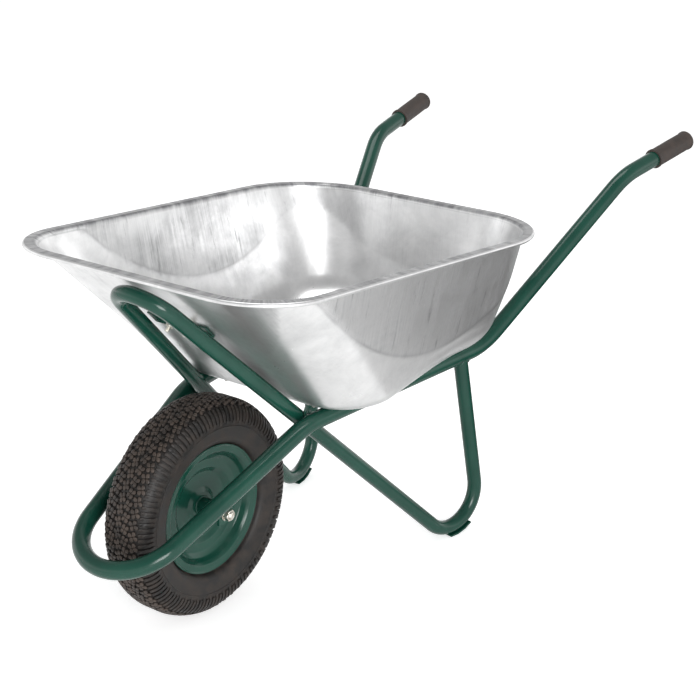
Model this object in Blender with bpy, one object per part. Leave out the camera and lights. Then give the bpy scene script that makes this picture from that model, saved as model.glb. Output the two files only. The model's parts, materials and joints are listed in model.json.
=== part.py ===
"""Builder's wheelbarrow: pressed steel tray, bent tube frame, pneumatic wheel.

Metres, +Z up.  The wheel is at -Y, the handles at +Y, and the user's left is +X.
The floor is Z = 0 and X = 0 is the symmetry plane.  Sizes along Y are measured
from the axle; place() moves them to the part's origin, the middle of its length.
"""
import math

import bmesh
import bpy
from mathutils import Matrix, Vector

# ---------------------------------------------------------------- general
SIDES = {"left": 1, "right": -1}
SEAT_GAP = 0.0003            # between faces that touch on the real object
RUNNING_CLEARANCE = 0.0001   # radial, between a bush and the axle
BEND_STEP = math.radians(14)  # one facet of a bent tube
COPE_REACH = 0.080           # length of tube that a cope is cut for, each way
HOLE_REACH = 0.010           # how far a drill goes past a sheet, each way

# ---------------------------------------------------------------- wheel
WHEEL_RADIUS = 0.200
TYRE_HALF_WIDTH = 0.050
TYRE_WALL = 0.006
TREAD_THICKNESS = 0.013
RIM_SEAT_RADIUS = 0.1015
RIM_FLANGE_HEIGHT = 0.0155
RIM_HALF_WIDTH = 0.0340
RIM_SHEET = 0.0020
RIM_LIP = 0.0025
DISC_STEP_RADIUS = 0.062
DISC_OUTER_X = 0.0130
DISC_INNER_X = 0.0055
INNER_TUBE_WALL = 0.0025
HUB_HALF_LENGTH = 0.040
HUB_WALL = 0.0025
BUSH_RADIUS = 0.0130
BUSH_LENGTH = 0.016
BUSH_FLANGE_RADIUS = 0.0175
BUSH_FLANGE = 0.0030
WHEEL_SEGMENTS = 32
SHAFT_SEGMENTS = 24
SMALL_SEGMENTS = 16
BOLT_SEGMENTS = 12
VALVE_RADIUS = 0.0042
VALVE_LENGTH = 0.030
VALVE_FOOT_X = 0.0135        # the stem leaves the inner tube to the right of its middle
VALVE_LEAN = math.radians(30)
VALVE_HOLE_CLEARANCE = 0.0009
VALVE_CAP_RADIUS = 0.0055
VALVE_CAP_LENGTH = 0.012
VALVE_CAP_GRIP = 0.008       # length of stem inside the cap

# ---------------------------------------------------------------- axle and its brackets
AXLE_RADIUS = 0.006
AXLE_SPACER_RADIUS = 0.009
AXLE_BRACKET_X = 0.0600      # inner face of the bracket's lower leg
AXLE_BRACKET_WIDTH = 0.034
AXLE_BRACKET_SHEET = 0.0050
AXLE_BRACKET_DROP = 0.018    # lower leg below the axle
AXLE_BRACKET_RISE = 0.020    # lower leg above the axle
AXLE_WASHER_RADIUS = 0.012
AXLE_WASHER = 0.0022
AXLE_NUT_ACROSS = 0.019
AXLE_NUT = 0.0100
AXLE_STICKOUT = 0.003

# ---------------------------------------------------------------- main frame tube
TUBE_RADIUS = 0.016
TUBE_SHEET = 0.0015
TUBE_SIDES = 10
COPE_SIDES = 32
LOOP_HALF_WIDTH = 0.086      # corners of the loop in front of the wheel
LOOP_CLEARANCE = 0.025       # tyre to loop
LOOP_HEIGHT = 0.175
NECK_BACK = 0.129            # bend between the loop and the tray's seat
NECK_HEIGHT = 0.346
NECK_BEND = 0.150
SEAT_HALF_WIDTH = 0.196      # bend at the back of the tray's seat
SEAT_BACK = 0.605
SEAT_HEIGHT = 0.369
SEAT_BEND = 0.120
HANDLE_HALF_WIDTH = 0.306    # bend below the grips
HANDLE_BACK = 0.934
HANDLE_HEIGHT = 0.659
HANDLE_BEND = 0.120
GRIP_HALF_WIDTH = 0.3325     # centre of the tube's end
GRIP_BACK = 1.142
GRIP_HEIGHT = 0.699

# ---------------------------------------------------------------- stand tube
STAND_RADIUS = 0.014
STAND_SHEET = 0.0015
TOP_LOOP_HALF_WIDTH = 0.049  # corners of the narrow loop in front of the tray
TOP_LOOP_FRONT = 0.140
TOP_LOOP_HEIGHT = 0.623
FOOT_HALF_WIDTH = 0.219      # corner of the foot bend
FOOT_BACK = 0.606
FOOT_BEND = 0.070
LEG_TOP_BACK = 0.538
SKID_SHEET = 0.0040
SKID_WIDTH = 0.026
SKID_WEAR = 0.0010           # worn flat at the floor
SKID_FRONT_ARC = math.radians(16)   # in front of and behind the lowest point
SKID_REAR_ARC = math.radians(44)

# ---------------------------------------------------------------- grips
GRIP_WALL = 0.0026
GRIP_LENGTH = 0.118
GRIP_END_WALL = 0.005
GRIP_COLLAR = 0.0022
GRIP_COLLAR_LENGTH = 0.006

# ---------------------------------------------------------------- tray
TRAY_SHEET = 0.0010
FLOOR_FRONT_HALF_WIDTH = 0.246
FLOOR_FRONT = 0.148
FLOOR_FRONT_CORNER = 0.100
FLOOR_REAR_HALF_WIDTH = 0.231
FLOOR_REAR = 0.641
FLOOR_REAR_CORNER = 0.120
FLOOR_BEND = 0.074
MOUTH_FRONT_HALF_WIDTH = 0.293
MOUTH_FRONT = -0.142
MOUTH_FRONT_HEIGHT = 0.662
MOUTH_FRONT_CORNER = 0.113
MOUTH_REAR_HALF_WIDTH = 0.310
MOUTH_REAR = 0.671
MOUTH_REAR_HEIGHT = 0.613
MOUTH_REAR_CORNER = 0.158
LIP_WIDTH = 0.016
LIP_ROLL = 0.0040
CORNER_STEPS = 5
EDGE_STEPS = 3
FLOOR_BEND_STEPS = 5
FLOOR_INNER_SHARE = 0.40     # where the floor's radial facets start, from its middle

# ---------------------------------------------------------------- crossbars and tray bolts
CROSSBAR_WIDTH = 0.030
CROSSBAR_DEPTH = 0.010
CROSSBAR_SHEET = 0.0025
FRONT_CROSSBAR_BACK = 0.196
REAR_CROSSBAR_BACK = 0.500
CROSSBAR_BOLT_INSET = 0.030
STRAP_WIDTH = 0.030
STRAP_SHEET = 0.0035
STRAP_HEIGHT = 0.545
STRAP_BOLT_X = 0.020
STRAP_COPE = 0.050           # length of strut that the strap is coped to, each way
BOLT_RADIUS = 0.004
BOLT_HOLE_CLEARANCE = 0.0004
BOLT_HEAD_RADIUS = 0.0095
BOLT_HEAD = 0.0040
BOLT_WASHER_RADIUS = 0.0090
BOLT_WASHER = 0.0016
BOLT_NUT_ACROSS = 0.0130
BOLT_NUT = 0.0065
BOLT_STICKOUT = 0.009

# ---------------------------------------------------------------- derived
LOOP_FRONT = WHEEL_RADIUS + LOOP_CLEARANCE + TUBE_RADIUS
FRONT_END = LOOP_FRONT + TUBE_RADIUS
AXLE_Y = (FRONT_END - GRIP_BACK) / 2
AXLE_HEIGHT = WHEEL_RADIUS


def place(x, y, z):
    """Turn a point measured from the axle along Y into the part's frame."""
    return Vector((x, y + AXLE_Y, z))


def mirror(point):
    """The same point on the other side of the symmetry plane."""
    return Vector((-point.x, point.y, point.z))


# ---------------------------------------------------------------- scene, materials, objects
def clear_scene():
    """Remove every object of the start-up scene."""
    for item in list(bpy.data.objects):
        bpy.data.objects.remove(item, do_unlink=True)


def make_material(name, colour, roughness, metallic):
    """A Principled material of one colour."""
    item = bpy.data.materials.new(name)
    item.use_nodes = True
    shader = item.node_tree.nodes["Principled BSDF"]
    shader.inputs["Base Color"].default_value = (*colour, 1.0)
    shader.inputs["Roughness"].default_value = roughness
    shader.inputs["Metallic"].default_value = metallic
    return item


def make_materials():
    """All finishes of the wheelbarrow."""
    return {
        "enamel": make_material("green_enamel", (0.017, 0.082, 0.053), 0.30, 0.0),
        "galvanised": make_material("galvanised_sheet", (0.62, 0.63, 0.64), 0.42, 0.9),
        "zinc": make_material("zinc_plate", (0.66, 0.65, 0.60), 0.30, 1.0),
        "tyre": make_material("tyre_rubber", (0.045, 0.036, 0.030), 0.80, 0.0),
        "butyl": make_material("butyl_rubber", (0.02, 0.02, 0.02), 0.65, 0.0),
        "grip": make_material("grip_rubber", (0.062, 0.043, 0.038), 0.60, 0.0),
        "nylon": make_material("bush_nylon", (0.70, 0.68, 0.60), 0.45, 0.0),
        "plastic": make_material("cap_plastic", (0.02, 0.02, 0.02), 0.45, 0.0),
    }


def add_object(name, mesh_data, material, origin=None, smooth_angle=35):
    """Link a bmesh as a named object whose origin is at the given point."""
    mesh = bpy.data.meshes.new(name)
    if origin is not None:
        bmesh.ops.translate(mesh_data, verts=mesh_data.verts, vec=-origin)
    bmesh.ops.recalc_face_normals(mesh_data, faces=mesh_data.faces)
    mesh_data.to_mesh(mesh)
    mesh_data.free()
    mesh.shade_smooth()
    mesh.set_sharp_from_angle(angle=math.radians(smooth_angle))
    mesh.materials.append(material)
    item = bpy.data.objects.new(name, mesh)
    if origin is not None:
        item.location = origin
    bpy.context.scene.collection.objects.link(item)
    return item


def cut(item, cutter):
    """Take the cutter's shape out of an object and hide the cutter."""
    cutter.hide_render = True
    cutter.display_type = "WIRE"
    modifier = item.modifiers.new("cut_" + cutter.name, "BOOLEAN")
    modifier.operation = "DIFFERENCE"
    modifier.solver = "EXACT"
    modifier.object = cutter


def cutter_object(name, mesh_data):
    """A guide object that only cuts others."""
    mesh = bpy.data.meshes.new(name)
    bmesh.ops.recalc_face_normals(mesh_data, faces=mesh_data.faces)
    mesh_data.to_mesh(mesh)
    mesh_data.free()
    item = bpy.data.objects.new(name, mesh)
    bpy.context.scene.collection.objects.link(item)
    return item


# ---------------------------------------------------------------- shapes
def axis_frame(direction, up=Vector((0, 0, 1))):
    """A rotation whose Z axis is the direction."""
    z_axis = direction.normalized()
    x_axis = up.cross(z_axis)
    if x_axis.length < 1e-6:
        x_axis = Vector((1, 0, 0))
    x_axis.normalize()
    y_axis = z_axis.cross(x_axis)
    return Matrix((x_axis, y_axis, z_axis)).transposed()


def turned(outline, segments, centre, direction, up=Vector((0, 0, 1))):
    """Revolve a closed outline of (along, radius) points about a line.

    Points of zero radius become single vertices on the line.
    """
    frame = axis_frame(direction, up)
    result = bmesh.new()
    rings = []
    for along, radius in outline:
        count = 1 if radius == 0 else segments
        ring = []
        for index in range(count):
            angle = 2 * math.pi * index / segments
            local = Vector((radius * math.cos(angle), radius * math.sin(angle), along))
            ring.append(result.verts.new(centre + frame @ local))
        rings.append(ring)
    for first, second in zip(rings, rings[1:] + rings[:1]):
        join_rings(result, first, second)
    return result


def join_rings(result, first, second):
    """Skin two rings; a ring of one vertex is a pole."""
    if len(first) == 1 and len(second) == 1:
        return
    count = max(len(first), len(second))
    for index in range(count):
        after = (index + 1) % count
        corners = []
        for vertex in (first[index % len(first)], first[after % len(first)],
                       second[after % len(second)], second[index % len(second)]):
            if vertex not in corners:
                corners.append(vertex)
        result.faces.new(corners)


def cylinder(centre, direction, radius, length, segments=SHAFT_SEGMENTS):
    """A solid rod that starts at the centre and runs along the direction."""
    return turned([(0, 0), (0, radius), (length, radius), (length, 0)],
                  segments, centre, direction)


def ring(centre, direction, inner, outer, length, segments=SMALL_SEGMENTS):
    """A plain washer or sleeve."""
    outline = [(0, inner), (0, outer), (length, outer), (length, inner)]
    return turned(outline, segments, centre, direction)


def hex_nut(centre, direction, across, hole, length):
    """A hexagon nut with a round hole."""
    frame = axis_frame(direction)
    result = bmesh.new()
    rings = []
    count = 12
    for along, inner in ((0, False), (length, False), (length, True), (0, True)):
        loop = []
        for index in range(count):
            angle = 2 * math.pi * index / count
            to_side = across / 2 / math.cos((angle % (math.pi / 3)) - math.pi / 6)
            radius = hole if inner else to_side
            local = Vector((radius * math.cos(angle), radius * math.sin(angle), along))
            loop.append(result.verts.new(centre + frame @ local))
        rings.append(loop)
    for first, second in zip(rings, rings[1:] + rings[:1]):
        join_rings(result, first, second)
    return result


def rounded_path(corners, radii, step=BEND_STEP):
    """A polyline through the corners with each inner corner rounded to its radius."""
    points = [corners[0]]
    for before, corner, after, radius in zip(corners, corners[1:], corners[2:], radii):
        inward = (before - corner).normalized()
        outward = (after - corner).normalized()
        angle = inward.angle(outward)
        setback = radius / math.tan(angle / 2)
        centre = corner + (inward + outward).normalized() * radius / math.sin(angle / 2)
        start = corner + inward * setback - centre
        turn = math.pi - angle
        side = (corner + outward * setback - centre)
        side = (side - side.project(start)).normalized() * radius
        count = max(2, math.ceil(turn / step))
        for index in range(count + 1):
            swing = turn * index / count
            points.append(centre + start * math.cos(swing) + side * math.sin(swing))
    points.append(corners[-1])
    return [point for index, point in enumerate(points)
            if index == 0 or (point - points[index - 1]).length > 1e-5]


def full_turn_radius(corner, following):
    """The largest bend at a corner whose mirror image is its other neighbour."""
    across = (mirror(corner) - corner).normalized()
    along = (following - corner).normalized()
    return abs(corner.x) * math.tan(across.angle(along) / 2) * 0.999


def path_frames(points):
    """Cross-section frames that turn as little as they can along a polyline."""
    tangents = []
    for index in range(len(points)):
        before = points[max(index - 1, 0)]
        after = points[min(index + 1, len(points) - 1)]
        incoming = (points[index] - before).normalized() if index else Vector()
        outgoing = (after - points[index]).normalized() if index < len(points) - 1 else Vector()
        tangents.append((incoming + outgoing).normalized())
    normal = tangents[0].orthogonal().normalized()
    frames = []
    for index, tangent in enumerate(tangents):
        normal = (normal - normal.project(tangent)).normalized()
        frames.append((normal, tangent.cross(normal), tangent))
    return frames


def cope_rod(points, radius):
    """A rod that takes out the space of a tube that other facets may cross."""
    return swept_tube(points, (radius + SEAT_GAP) / math.cos(math.pi / COPE_SIDES),
                      sides=COPE_SIDES)


def swept_tube(points, outer, inner=0.0, sides=TUBE_SIDES):
    """A tube (or a rod, when inner is 0) along a polyline, mitred at its points."""
    frames = path_frames(points)
    result = bmesh.new()

    def rings_of(radius):
        """Rings of one radius, stretched across each mitre to keep the tube round."""
        rings = []
        for index, point in enumerate(points):
            normal, binormal, tangent = frames[index]
            leg = points[min(index + 1, len(points) - 1)] - points[max(index - 1, 0)]
            nearest = points[1] - points[0] if index == 0 else point - points[index - 1]
            half_turn = nearest.angle(tangent) if 0 < index < len(points) - 1 else 0.0
            bend_axis = nearest.cross(leg)
            stretch = None
            if half_turn > 1e-5 and bend_axis.length > 1e-12:
                stretch = bend_axis.normalized().cross(tangent)
            loop = []
            for number in range(sides):
                angle = 2 * math.pi * (number + 0.5) / sides
                offset = (normal * math.cos(angle) + binormal * math.sin(angle)) * radius
                if stretch is not None:
                    offset += offset.project(stretch) * (1 / math.cos(half_turn) - 1)
                loop.append(result.verts.new(point + offset))
            rings.append(loop)
        return rings

    outside = rings_of(outer)
    for first, second in zip(outside, outside[1:]):
        join_rings(result, first, second)
    if inner == 0:
        result.faces.new(outside[0])
        result.faces.new(outside[-1])
        return result
    inside = rings_of(inner)
    for first, second in zip(inside, inside[1:]):
        join_rings(result, first, second)
    for end in (0, -1):
        join_rings(result, outside[end], inside[end])
    return result


def segment_distance(path_a, path_b):
    """Smallest distance between two polylines, and the vector from a to b there."""
    best = (1e9, Vector())
    for start_a, end_a in zip(path_a, path_a[1:]):
        for start_b, end_b in zip(path_b, path_b[1:]):
            along_a = end_a - start_a
            along_b = end_b - start_b
            between = start_a - start_b
            aa, ab, bb = along_a.dot(along_a), along_a.dot(along_b), along_b.dot(along_b)
            ac, bc = along_a.dot(between), along_b.dot(between)
            spread = aa * bb - ab * ab
            s = min(1.0, max(0.0, (ab * bc - bb * ac) / spread)) if spread > 1e-12 else 0.0
            t = min(1.0, max(0.0, (ab * s + bc) / bb))
            s = min(1.0, max(0.0, (ab * t - ac) / aa))
            gap = (start_b + along_b * t) - (start_a + along_a * s)
            if gap.length < best[0]:
                best = (gap.length, gap)
    return best


# ---------------------------------------------------------------- frame layout
class FrameLayout:
    """Centre lines of both bent tubes, solved so that they touch where they cross.

    The foot bend's height is found from the floor, and the neck bend's half width
    from the strut that passes inside it.
    """

    def __init__(self):
        weld = TUBE_RADIUS + STAND_RADIUS + SEAT_GAP
        self.foot_height = 0.0
        self.neck_half_width = FOOT_HALF_WIDTH
        for _ in range(16):
            self.main_half = self.half_main()
            self.leg_top = self.point_on_main(LEG_TOP_BACK)
            self.stand_half = self.half_stand()
            lowest = min(point.z for point in self.stand_half) - STAND_RADIUS
            self.foot_height += SKID_SHEET - SKID_WEAR + SEAT_GAP - lowest
            neck = self.main_between(NECK_BACK - COPE_REACH, NECK_BACK + COPE_REACH)
            strut = self.strut_between(NECK_HEIGHT + COPE_REACH, NECK_HEIGHT - COPE_REACH)
            distance, gap = segment_distance(neck, strut)
            self.neck_half_width += (distance - weld) * gap.normalized().x

    def half_main(self):
        """Left half of the main tube, from the symmetry plane to the grip end."""
        loop = place(LOOP_HALF_WIDTH, -LOOP_FRONT, LOOP_HEIGHT)
        neck = place(self.neck_half_width, NECK_BACK, NECK_HEIGHT)
        seat = place(SEAT_HALF_WIDTH, SEAT_BACK, SEAT_HEIGHT)
        handle = place(HANDLE_HALF_WIDTH, HANDLE_BACK, HANDLE_HEIGHT)
        end = place(GRIP_HALF_WIDTH, GRIP_BACK, GRIP_HEIGHT)
        turn = full_turn_radius(loop, neck)
        start = place(0, -LOOP_FRONT, LOOP_HEIGHT)
        return rounded_path([start, loop, neck, seat, handle, end],
                            [turn, NECK_BEND, SEAT_BEND, HANDLE_BEND])

    def half_stand(self):
        """Left half of the stand tube, from the symmetry plane to the leg's top."""
        loop = place(TOP_LOOP_HALF_WIDTH, -TOP_LOOP_FRONT, TOP_LOOP_HEIGHT)
        foot = place(FOOT_HALF_WIDTH, FOOT_BACK, self.foot_height)
        turn = full_turn_radius(loop, foot)
        start = place(0, -TOP_LOOP_FRONT, TOP_LOOP_HEIGHT)
        return rounded_path([start, loop, foot, self.leg_top], [turn, FOOT_BEND])

    def point_on_main(self, back):
        """Centre of the main tube at a distance behind the axle, left side."""
        target = back + AXLE_Y
        for before, after in zip(self.main_half, self.main_half[1:]):
            if before.y <= target <= after.y and after.y > before.y:
                share = (target - before.y) / (after.y - before.y)
                return before.lerp(after, share)
        raise ValueError("no point on the main tube there")

    def main_between(self, front, back, sign=1):
        """The main tube's centre line between two distances behind the axle, one side."""
        points = [self.point_on_main(front)]
        points += [point for point in self.main_half
                   if front + 0.001 < point.y - AXLE_Y < back - 0.001]
        points.append(self.point_on_main(back))
        return [Vector((sign * point.x, point.y, point.z)) for point in points]

    def strut_between(self, high, low, sign=1):
        """The strut's centre line between two heights, on one side."""
        points = [self.point_on_strut(high)]
        points += [point for point in self.stand_half if low + 0.001 < point.z < high - 0.001
                   and point.y < self.leg_top.y - 0.1]
        points.append(self.point_on_strut(low))
        return [Vector((sign * point.x, point.y, point.z)) for point in points]

    def point_on_strut(self, height):
        """Centre of the stand tube's diagonal strut at a height, left side."""
        for before, after in zip(self.stand_half, self.stand_half[1:]):
            if before.z >= height >= after.z and before.z > after.z:
                share = (before.z - height) / (before.z - after.z)
                return before.lerp(after, share)
        raise ValueError("no point on the strut there")

    def whole(self, half):
        """Both sides of a half centre line as one polyline."""
        return [mirror(point) for point in reversed(half[1:])] + half[1:]


# ---------------------------------------------------------------- tray
def rounded_outline(front, rear, corner_front, corner_rear):
    """A symmetric trapezoid with rounded corners, as (x, y) points.

    front and rear are (half width, y).  Each corner has CORNER_STEPS chords and each
    edge EDGE_STEPS, so outlines of different sizes match point for point.
    """
    corners = [(Vector(rear), corner_rear), (Vector(front), corner_front),
               (Vector((-front[0], front[1])), corner_front),
               (Vector((-rear[0], rear[1])), corner_rear)]
    arcs = []
    for index, (corner, radius) in enumerate(corners):
        before = corners[index - 1][0]
        after = corners[(index + 1) % 4][0]
        inward = (before - corner).normalized()
        outward = (after - corner).normalized()
        angle = inward.angle(outward)
        centre = corner + (inward + outward).normalized() * radius / math.sin(angle / 2)
        start = corner + inward * radius / math.tan(angle / 2) - centre
        end = corner + outward * radius / math.tan(angle / 2) - centre
        side = (end - end.project(start)).normalized() * radius
        turn = math.pi - angle
        arcs.append([centre + start * math.cos(turn * n / CORNER_STEPS)
                     + side * math.sin(turn * n / CORNER_STEPS)
                     for n in range(CORNER_STEPS + 1)])
    points = []
    for index, arc in enumerate(arcs):
        following = arcs[(index + 1) % 4][0]
        points += arc
        points += [arc[-1].lerp(following, n / EDGE_STEPS) for n in range(1, EDGE_STEPS)]
    return points


class TrayLayout:
    """The tray's planes: its floor on the crossbars and its sloping mouth."""

    def __init__(self, frame):
        front = frame.point_on_main(FRONT_CROSSBAR_BACK)
        rear = frame.point_on_main(REAR_CROSSBAR_BACK)
        self.slope = (rear.z - front.z) / (rear.y - front.y)
        self.base_y = front.y
        lift = TUBE_RADIUS / math.cos(math.atan(self.slope)) + SEAT_GAP * 2 + CROSSBAR_SHEET
        self.base_z = front.z + lift

    def underside(self, y):
        """Height of the floor's lower face at a part-frame y."""
        return self.base_z + (y - self.base_y) * self.slope

    def floor(self, y):
        """Height of the floor's upper face at a part-frame y."""
        return self.underside(y) + TRAY_SHEET

    @staticmethod
    def mouth(y):
        """Height of the mouth's plane at a part-frame y."""
        share = (y - AXLE_Y - MOUTH_FRONT) / (MOUTH_REAR - MOUTH_FRONT)
        return MOUTH_FRONT_HEIGHT + share * (MOUTH_REAR_HEIGHT - MOUTH_FRONT_HEIGHT)

    def rims(self):
        """Sharp edges between floor and wall, and wall and lip, point for point."""
        lower = rounded_outline((FLOOR_FRONT_HALF_WIDTH, FLOOR_FRONT + AXLE_Y),
                                (FLOOR_REAR_HALF_WIDTH, FLOOR_REAR + AXLE_Y),
                                FLOOR_FRONT_CORNER, FLOOR_REAR_CORNER)
        upper = rounded_outline((MOUTH_FRONT_HALF_WIDTH, MOUTH_FRONT + AXLE_Y),
                                (MOUTH_REAR_HALF_WIDTH, MOUTH_REAR + AXLE_Y),
                                MOUTH_FRONT_CORNER, MOUTH_REAR_CORNER)
        lower = [Vector((p.x, p.y, self.floor(p.y))) for p in lower]
        upper = [Vector((p.x, p.y, self.mouth(p.y))) for p in upper]
        return lower, upper

    def centre(self):
        """Middle of the floor's upper face."""
        y = (FLOOR_FRONT + FLOOR_REAR) / 2 + AXLE_Y
        return Vector((0, y, self.floor(y)))

    def columns(self):
        """One inside line per outline point, from the floor to the rolled edge."""
        lower, upper = self.rims()
        centre = self.centre()
        count = len(upper)
        result = []
        for index in range(count):
            inner = centre.lerp(lower[index], FLOOR_INNER_SHARE)
            column = rounded_path([inner, lower[index], upper[index]], [FLOOR_BEND],
                                  step=self.bend_step(inner, lower[index], upper[index]))
            along = upper[(index + 1) % count] - upper[index - 1]
            outward = Vector((-along.y, along.x, 0)).normalized()
            if outward.dot(upper[index] - centre) < 0:
                outward = -outward
            column += lip_points(upper[index], outward)
            result.append(column)
        return result

    @staticmethod
    def bend_step(inner, corner, top):
        """A step that gives every column the same number of chords."""
        turn = math.pi - (inner - corner).angle(top - corner)
        return turn / FLOOR_BEND_STEPS * 1.0001

    def front_wall(self, height):
        """Outer face of the front wall on the symmetry plane, and its outward normal."""
        bottom = Vector((0, FLOOR_FRONT + AXLE_Y, self.floor(FLOOR_FRONT + AXLE_Y)))
        top = Vector((0, MOUTH_FRONT + AXLE_Y, MOUTH_FRONT_HEIGHT))
        along = (top - bottom).normalized()
        normal = Vector((0, -along.z, along.y))
        point = bottom.lerp(top, (height - bottom.z) / (top.z - bottom.z))
        return point + normal * TRAY_SHEET, normal, along


def lip_points(edge, outward):
    """The flat lip and its downward roll, beyond a point of the wall's top edge."""
    points = [edge + outward * LIP_WIDTH]
    centre = points[0] + Vector((0, 0, -LIP_ROLL))
    for degrees in (60, 120, 180, 230):
        angle = math.radians(degrees)
        points.append(centre + outward * LIP_ROLL * math.sin(angle)
                      + Vector((0, 0, LIP_ROLL * math.cos(angle))))
    return points


def build_tray(tray, material):
    """The pressed tray as one sheet with thickness."""
    columns = tray.columns()
    sheet = bmesh.new()
    rings = [[sheet.verts.new(column[level]) for column in columns]
             for level in range(len(columns[0]))]
    middle = sheet.verts.new(tray.centre())
    join_rings(sheet, [middle], rings[0])
    for first, second in zip(rings, rings[1:]):
        join_rings(sheet, first, second)
    bmesh.ops.recalc_face_normals(sheet, faces=sheet.faces)
    middle_face = min(sheet.faces, key=lambda face: (face.calc_center_median()
                                                     - tray.centre()).length)
    if middle_face.normal.z < 0:
        bmesh.ops.reverse_faces(sheet, faces=sheet.faces)
    mesh = bpy.data.meshes.new("tray")
    sheet.to_mesh(mesh)
    sheet.free()
    mesh.shade_smooth()
    mesh.materials.append(material)
    item = bpy.data.objects.new("tray", mesh)
    bpy.context.scene.collection.objects.link(item)
    solid = item.modifiers.new("sheet", "SOLIDIFY")
    solid.thickness = TRAY_SHEET
    solid.offset = -1
    solid.use_even_offset = True
    return item


# ---------------------------------------------------------------- frame pieces
def build_tubes(frame, enamel):
    """Both bent tubes; the leg tops are coped to the main tube's underside."""
    main = frame.whole(frame.main_half)
    stand = frame.whole(frame.stand_half)
    add_object("main_frame_tube", swept_tube(main, TUBE_RADIUS, TUBE_RADIUS - TUBE_SHEET),
               enamel)
    item = add_object("stand_tube", swept_tube(stand, STAND_RADIUS,
                                               STAND_RADIUS - STAND_SHEET), enamel)
    for side, sign in SIDES.items():
        near = frame.main_between(LEG_TOP_BACK - COPE_REACH, LEG_TOP_BACK + COPE_REACH, sign)
        cope = cutter_object("cope_" + side, cope_rod(near, TUBE_RADIUS))
        cut(item, cope)


def skid_mesh(frame, sign):
    """A bent strip along the underside of the foot bend, trimmed flat at the floor.

    Its facets follow the tube's own facets, so the gap between them is even.
    """
    corner = place(FOOT_HALF_WIDTH, FOOT_BACK, frame.foot_height)
    loop_corner = place(TOP_LOOP_HALF_WIDTH, -TOP_LOOP_FRONT, TOP_LOOP_HEIGHT)
    strut = (loop_corner - corner).normalized()
    leg = (frame.leg_top - corner).normalized()
    angle = strut.angle(leg)
    centre = corner + (strut + leg).normalized() * FOOT_BEND / math.sin(angle / 2)
    across = strut.cross(leg).normalized()
    floor = Vector((0, 0, -1))
    down = (floor - floor.project(across)).normalized()
    inner = STAND_RADIUS + SEAT_GAP
    result = bmesh.new()
    rings = []
    for point in frame.stand_half:
        spoke = (point - centre).normalized()
        swing = math.copysign(spoke.angle(down), point.y - (centre + down * FOOT_BEND).y)
        on_bend = abs((point - centre).length - FOOT_BEND) < 1e-4
        if not on_bend or not -SKID_FRONT_ARC <= swing <= SKID_REAR_ARC:
            continue
        loop = []
        for depth, shift in ((inner, -0.5), (inner, 0.5),
                             (inner + SKID_SHEET, 0.5), (inner + SKID_SHEET, -0.5)):
            place_at = point + spoke * depth + across * shift * SKID_WIDTH
            loop.append(result.verts.new(Vector((sign * place_at.x, place_at.y, place_at.z))))
        rings.append(loop)
    for first, second in zip(rings, rings[1:]):
        join_rings(result, first, second)
    result.faces.new(rings[0])
    result.faces.new(rings[-1])
    everything = list(result.verts) + list(result.edges) + list(result.faces)
    trimmed = bmesh.ops.bisect_plane(result, geom=everything, plane_co=(0, 0, 0),
                                     plane_no=(0, 0, -1), clear_outer=True)
    edges = [piece for piece in trimmed["geom_cut"] if isinstance(piece, bmesh.types.BMEdge)]
    bmesh.ops.edgeloop_fill(result, edges=edges)
    return result


def axle_bracket_mesh(frame, sign):
    """A cranked flat bar from the main tube's inner side down to the axle.

    The outline is drawn across the frame and pushed along Y; the holes and the
    tube's cope are cut later.
    """
    tube = frame.point_on_main(0.0)
    slant = math.cos(math.atan2(abs(tube.x - frame.point_on_main(-0.05).x), 0.05))
    reach = tube.x - (TUBE_RADIUS * 0.55) * slant
    top = tube.z - TUBE_RADIUS * 0.2
    knee = AXLE_HEIGHT + AXLE_BRACKET_RISE
    inside = [Vector((AXLE_BRACKET_X, AXLE_HEIGHT - AXLE_BRACKET_DROP)),
              Vector((AXLE_BRACKET_X, knee)),
              Vector((reach - AXLE_BRACKET_SHEET, top))]
    lower = (inside[1] - inside[0]).normalized()
    upper = (inside[2] - inside[1]).normalized()
    bisector = Vector((lower.y + upper.y, -lower.x - upper.x)).normalized()
    mitre = AXLE_BRACKET_SHEET / bisector.dot(Vector((lower.y, -lower.x)))
    outside = [inside[0] + Vector((AXLE_BRACKET_SHEET, 0)),
               inside[1] + bisector * mitre,
               inside[2] + Vector((upper.y, -upper.x)) * AXLE_BRACKET_SHEET]
    outline = inside + outside[::-1]
    result = bmesh.new()
    ends = []
    for y in (-AXLE_BRACKET_WIDTH / 2, AXLE_BRACKET_WIDTH / 2):
        ends.append([result.verts.new(place(sign * p.x, y, p.y)) for p in outline])
    join_rings(result, *ends)
    for end in ends:
        result.faces.new(end)
    return result


def build_axle_brackets(frame, enamel):
    """Both brackets, coped to the tube and bored for the axle."""
    for side, sign in SIDES.items():
        item = add_object("axle_bracket_" + side, axle_bracket_mesh(frame, sign), enamel)
        path = frame.main_between(-COPE_REACH, COPE_REACH, sign)
        cut(item, cutter_object("bracket_cope_" + side,
                                cope_rod(path, TUBE_RADIUS)))
        start = place(sign * (AXLE_BRACKET_X - HOLE_REACH), 0, AXLE_HEIGHT)
        hole = cylinder(start, Vector((sign, 0, 0)), AXLE_RADIUS + SEAT_GAP,
                        AXLE_BRACKET_SHEET + 2 * HOLE_REACH)
        cut(item, cutter_object("bracket_hole_" + side, hole))


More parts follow.
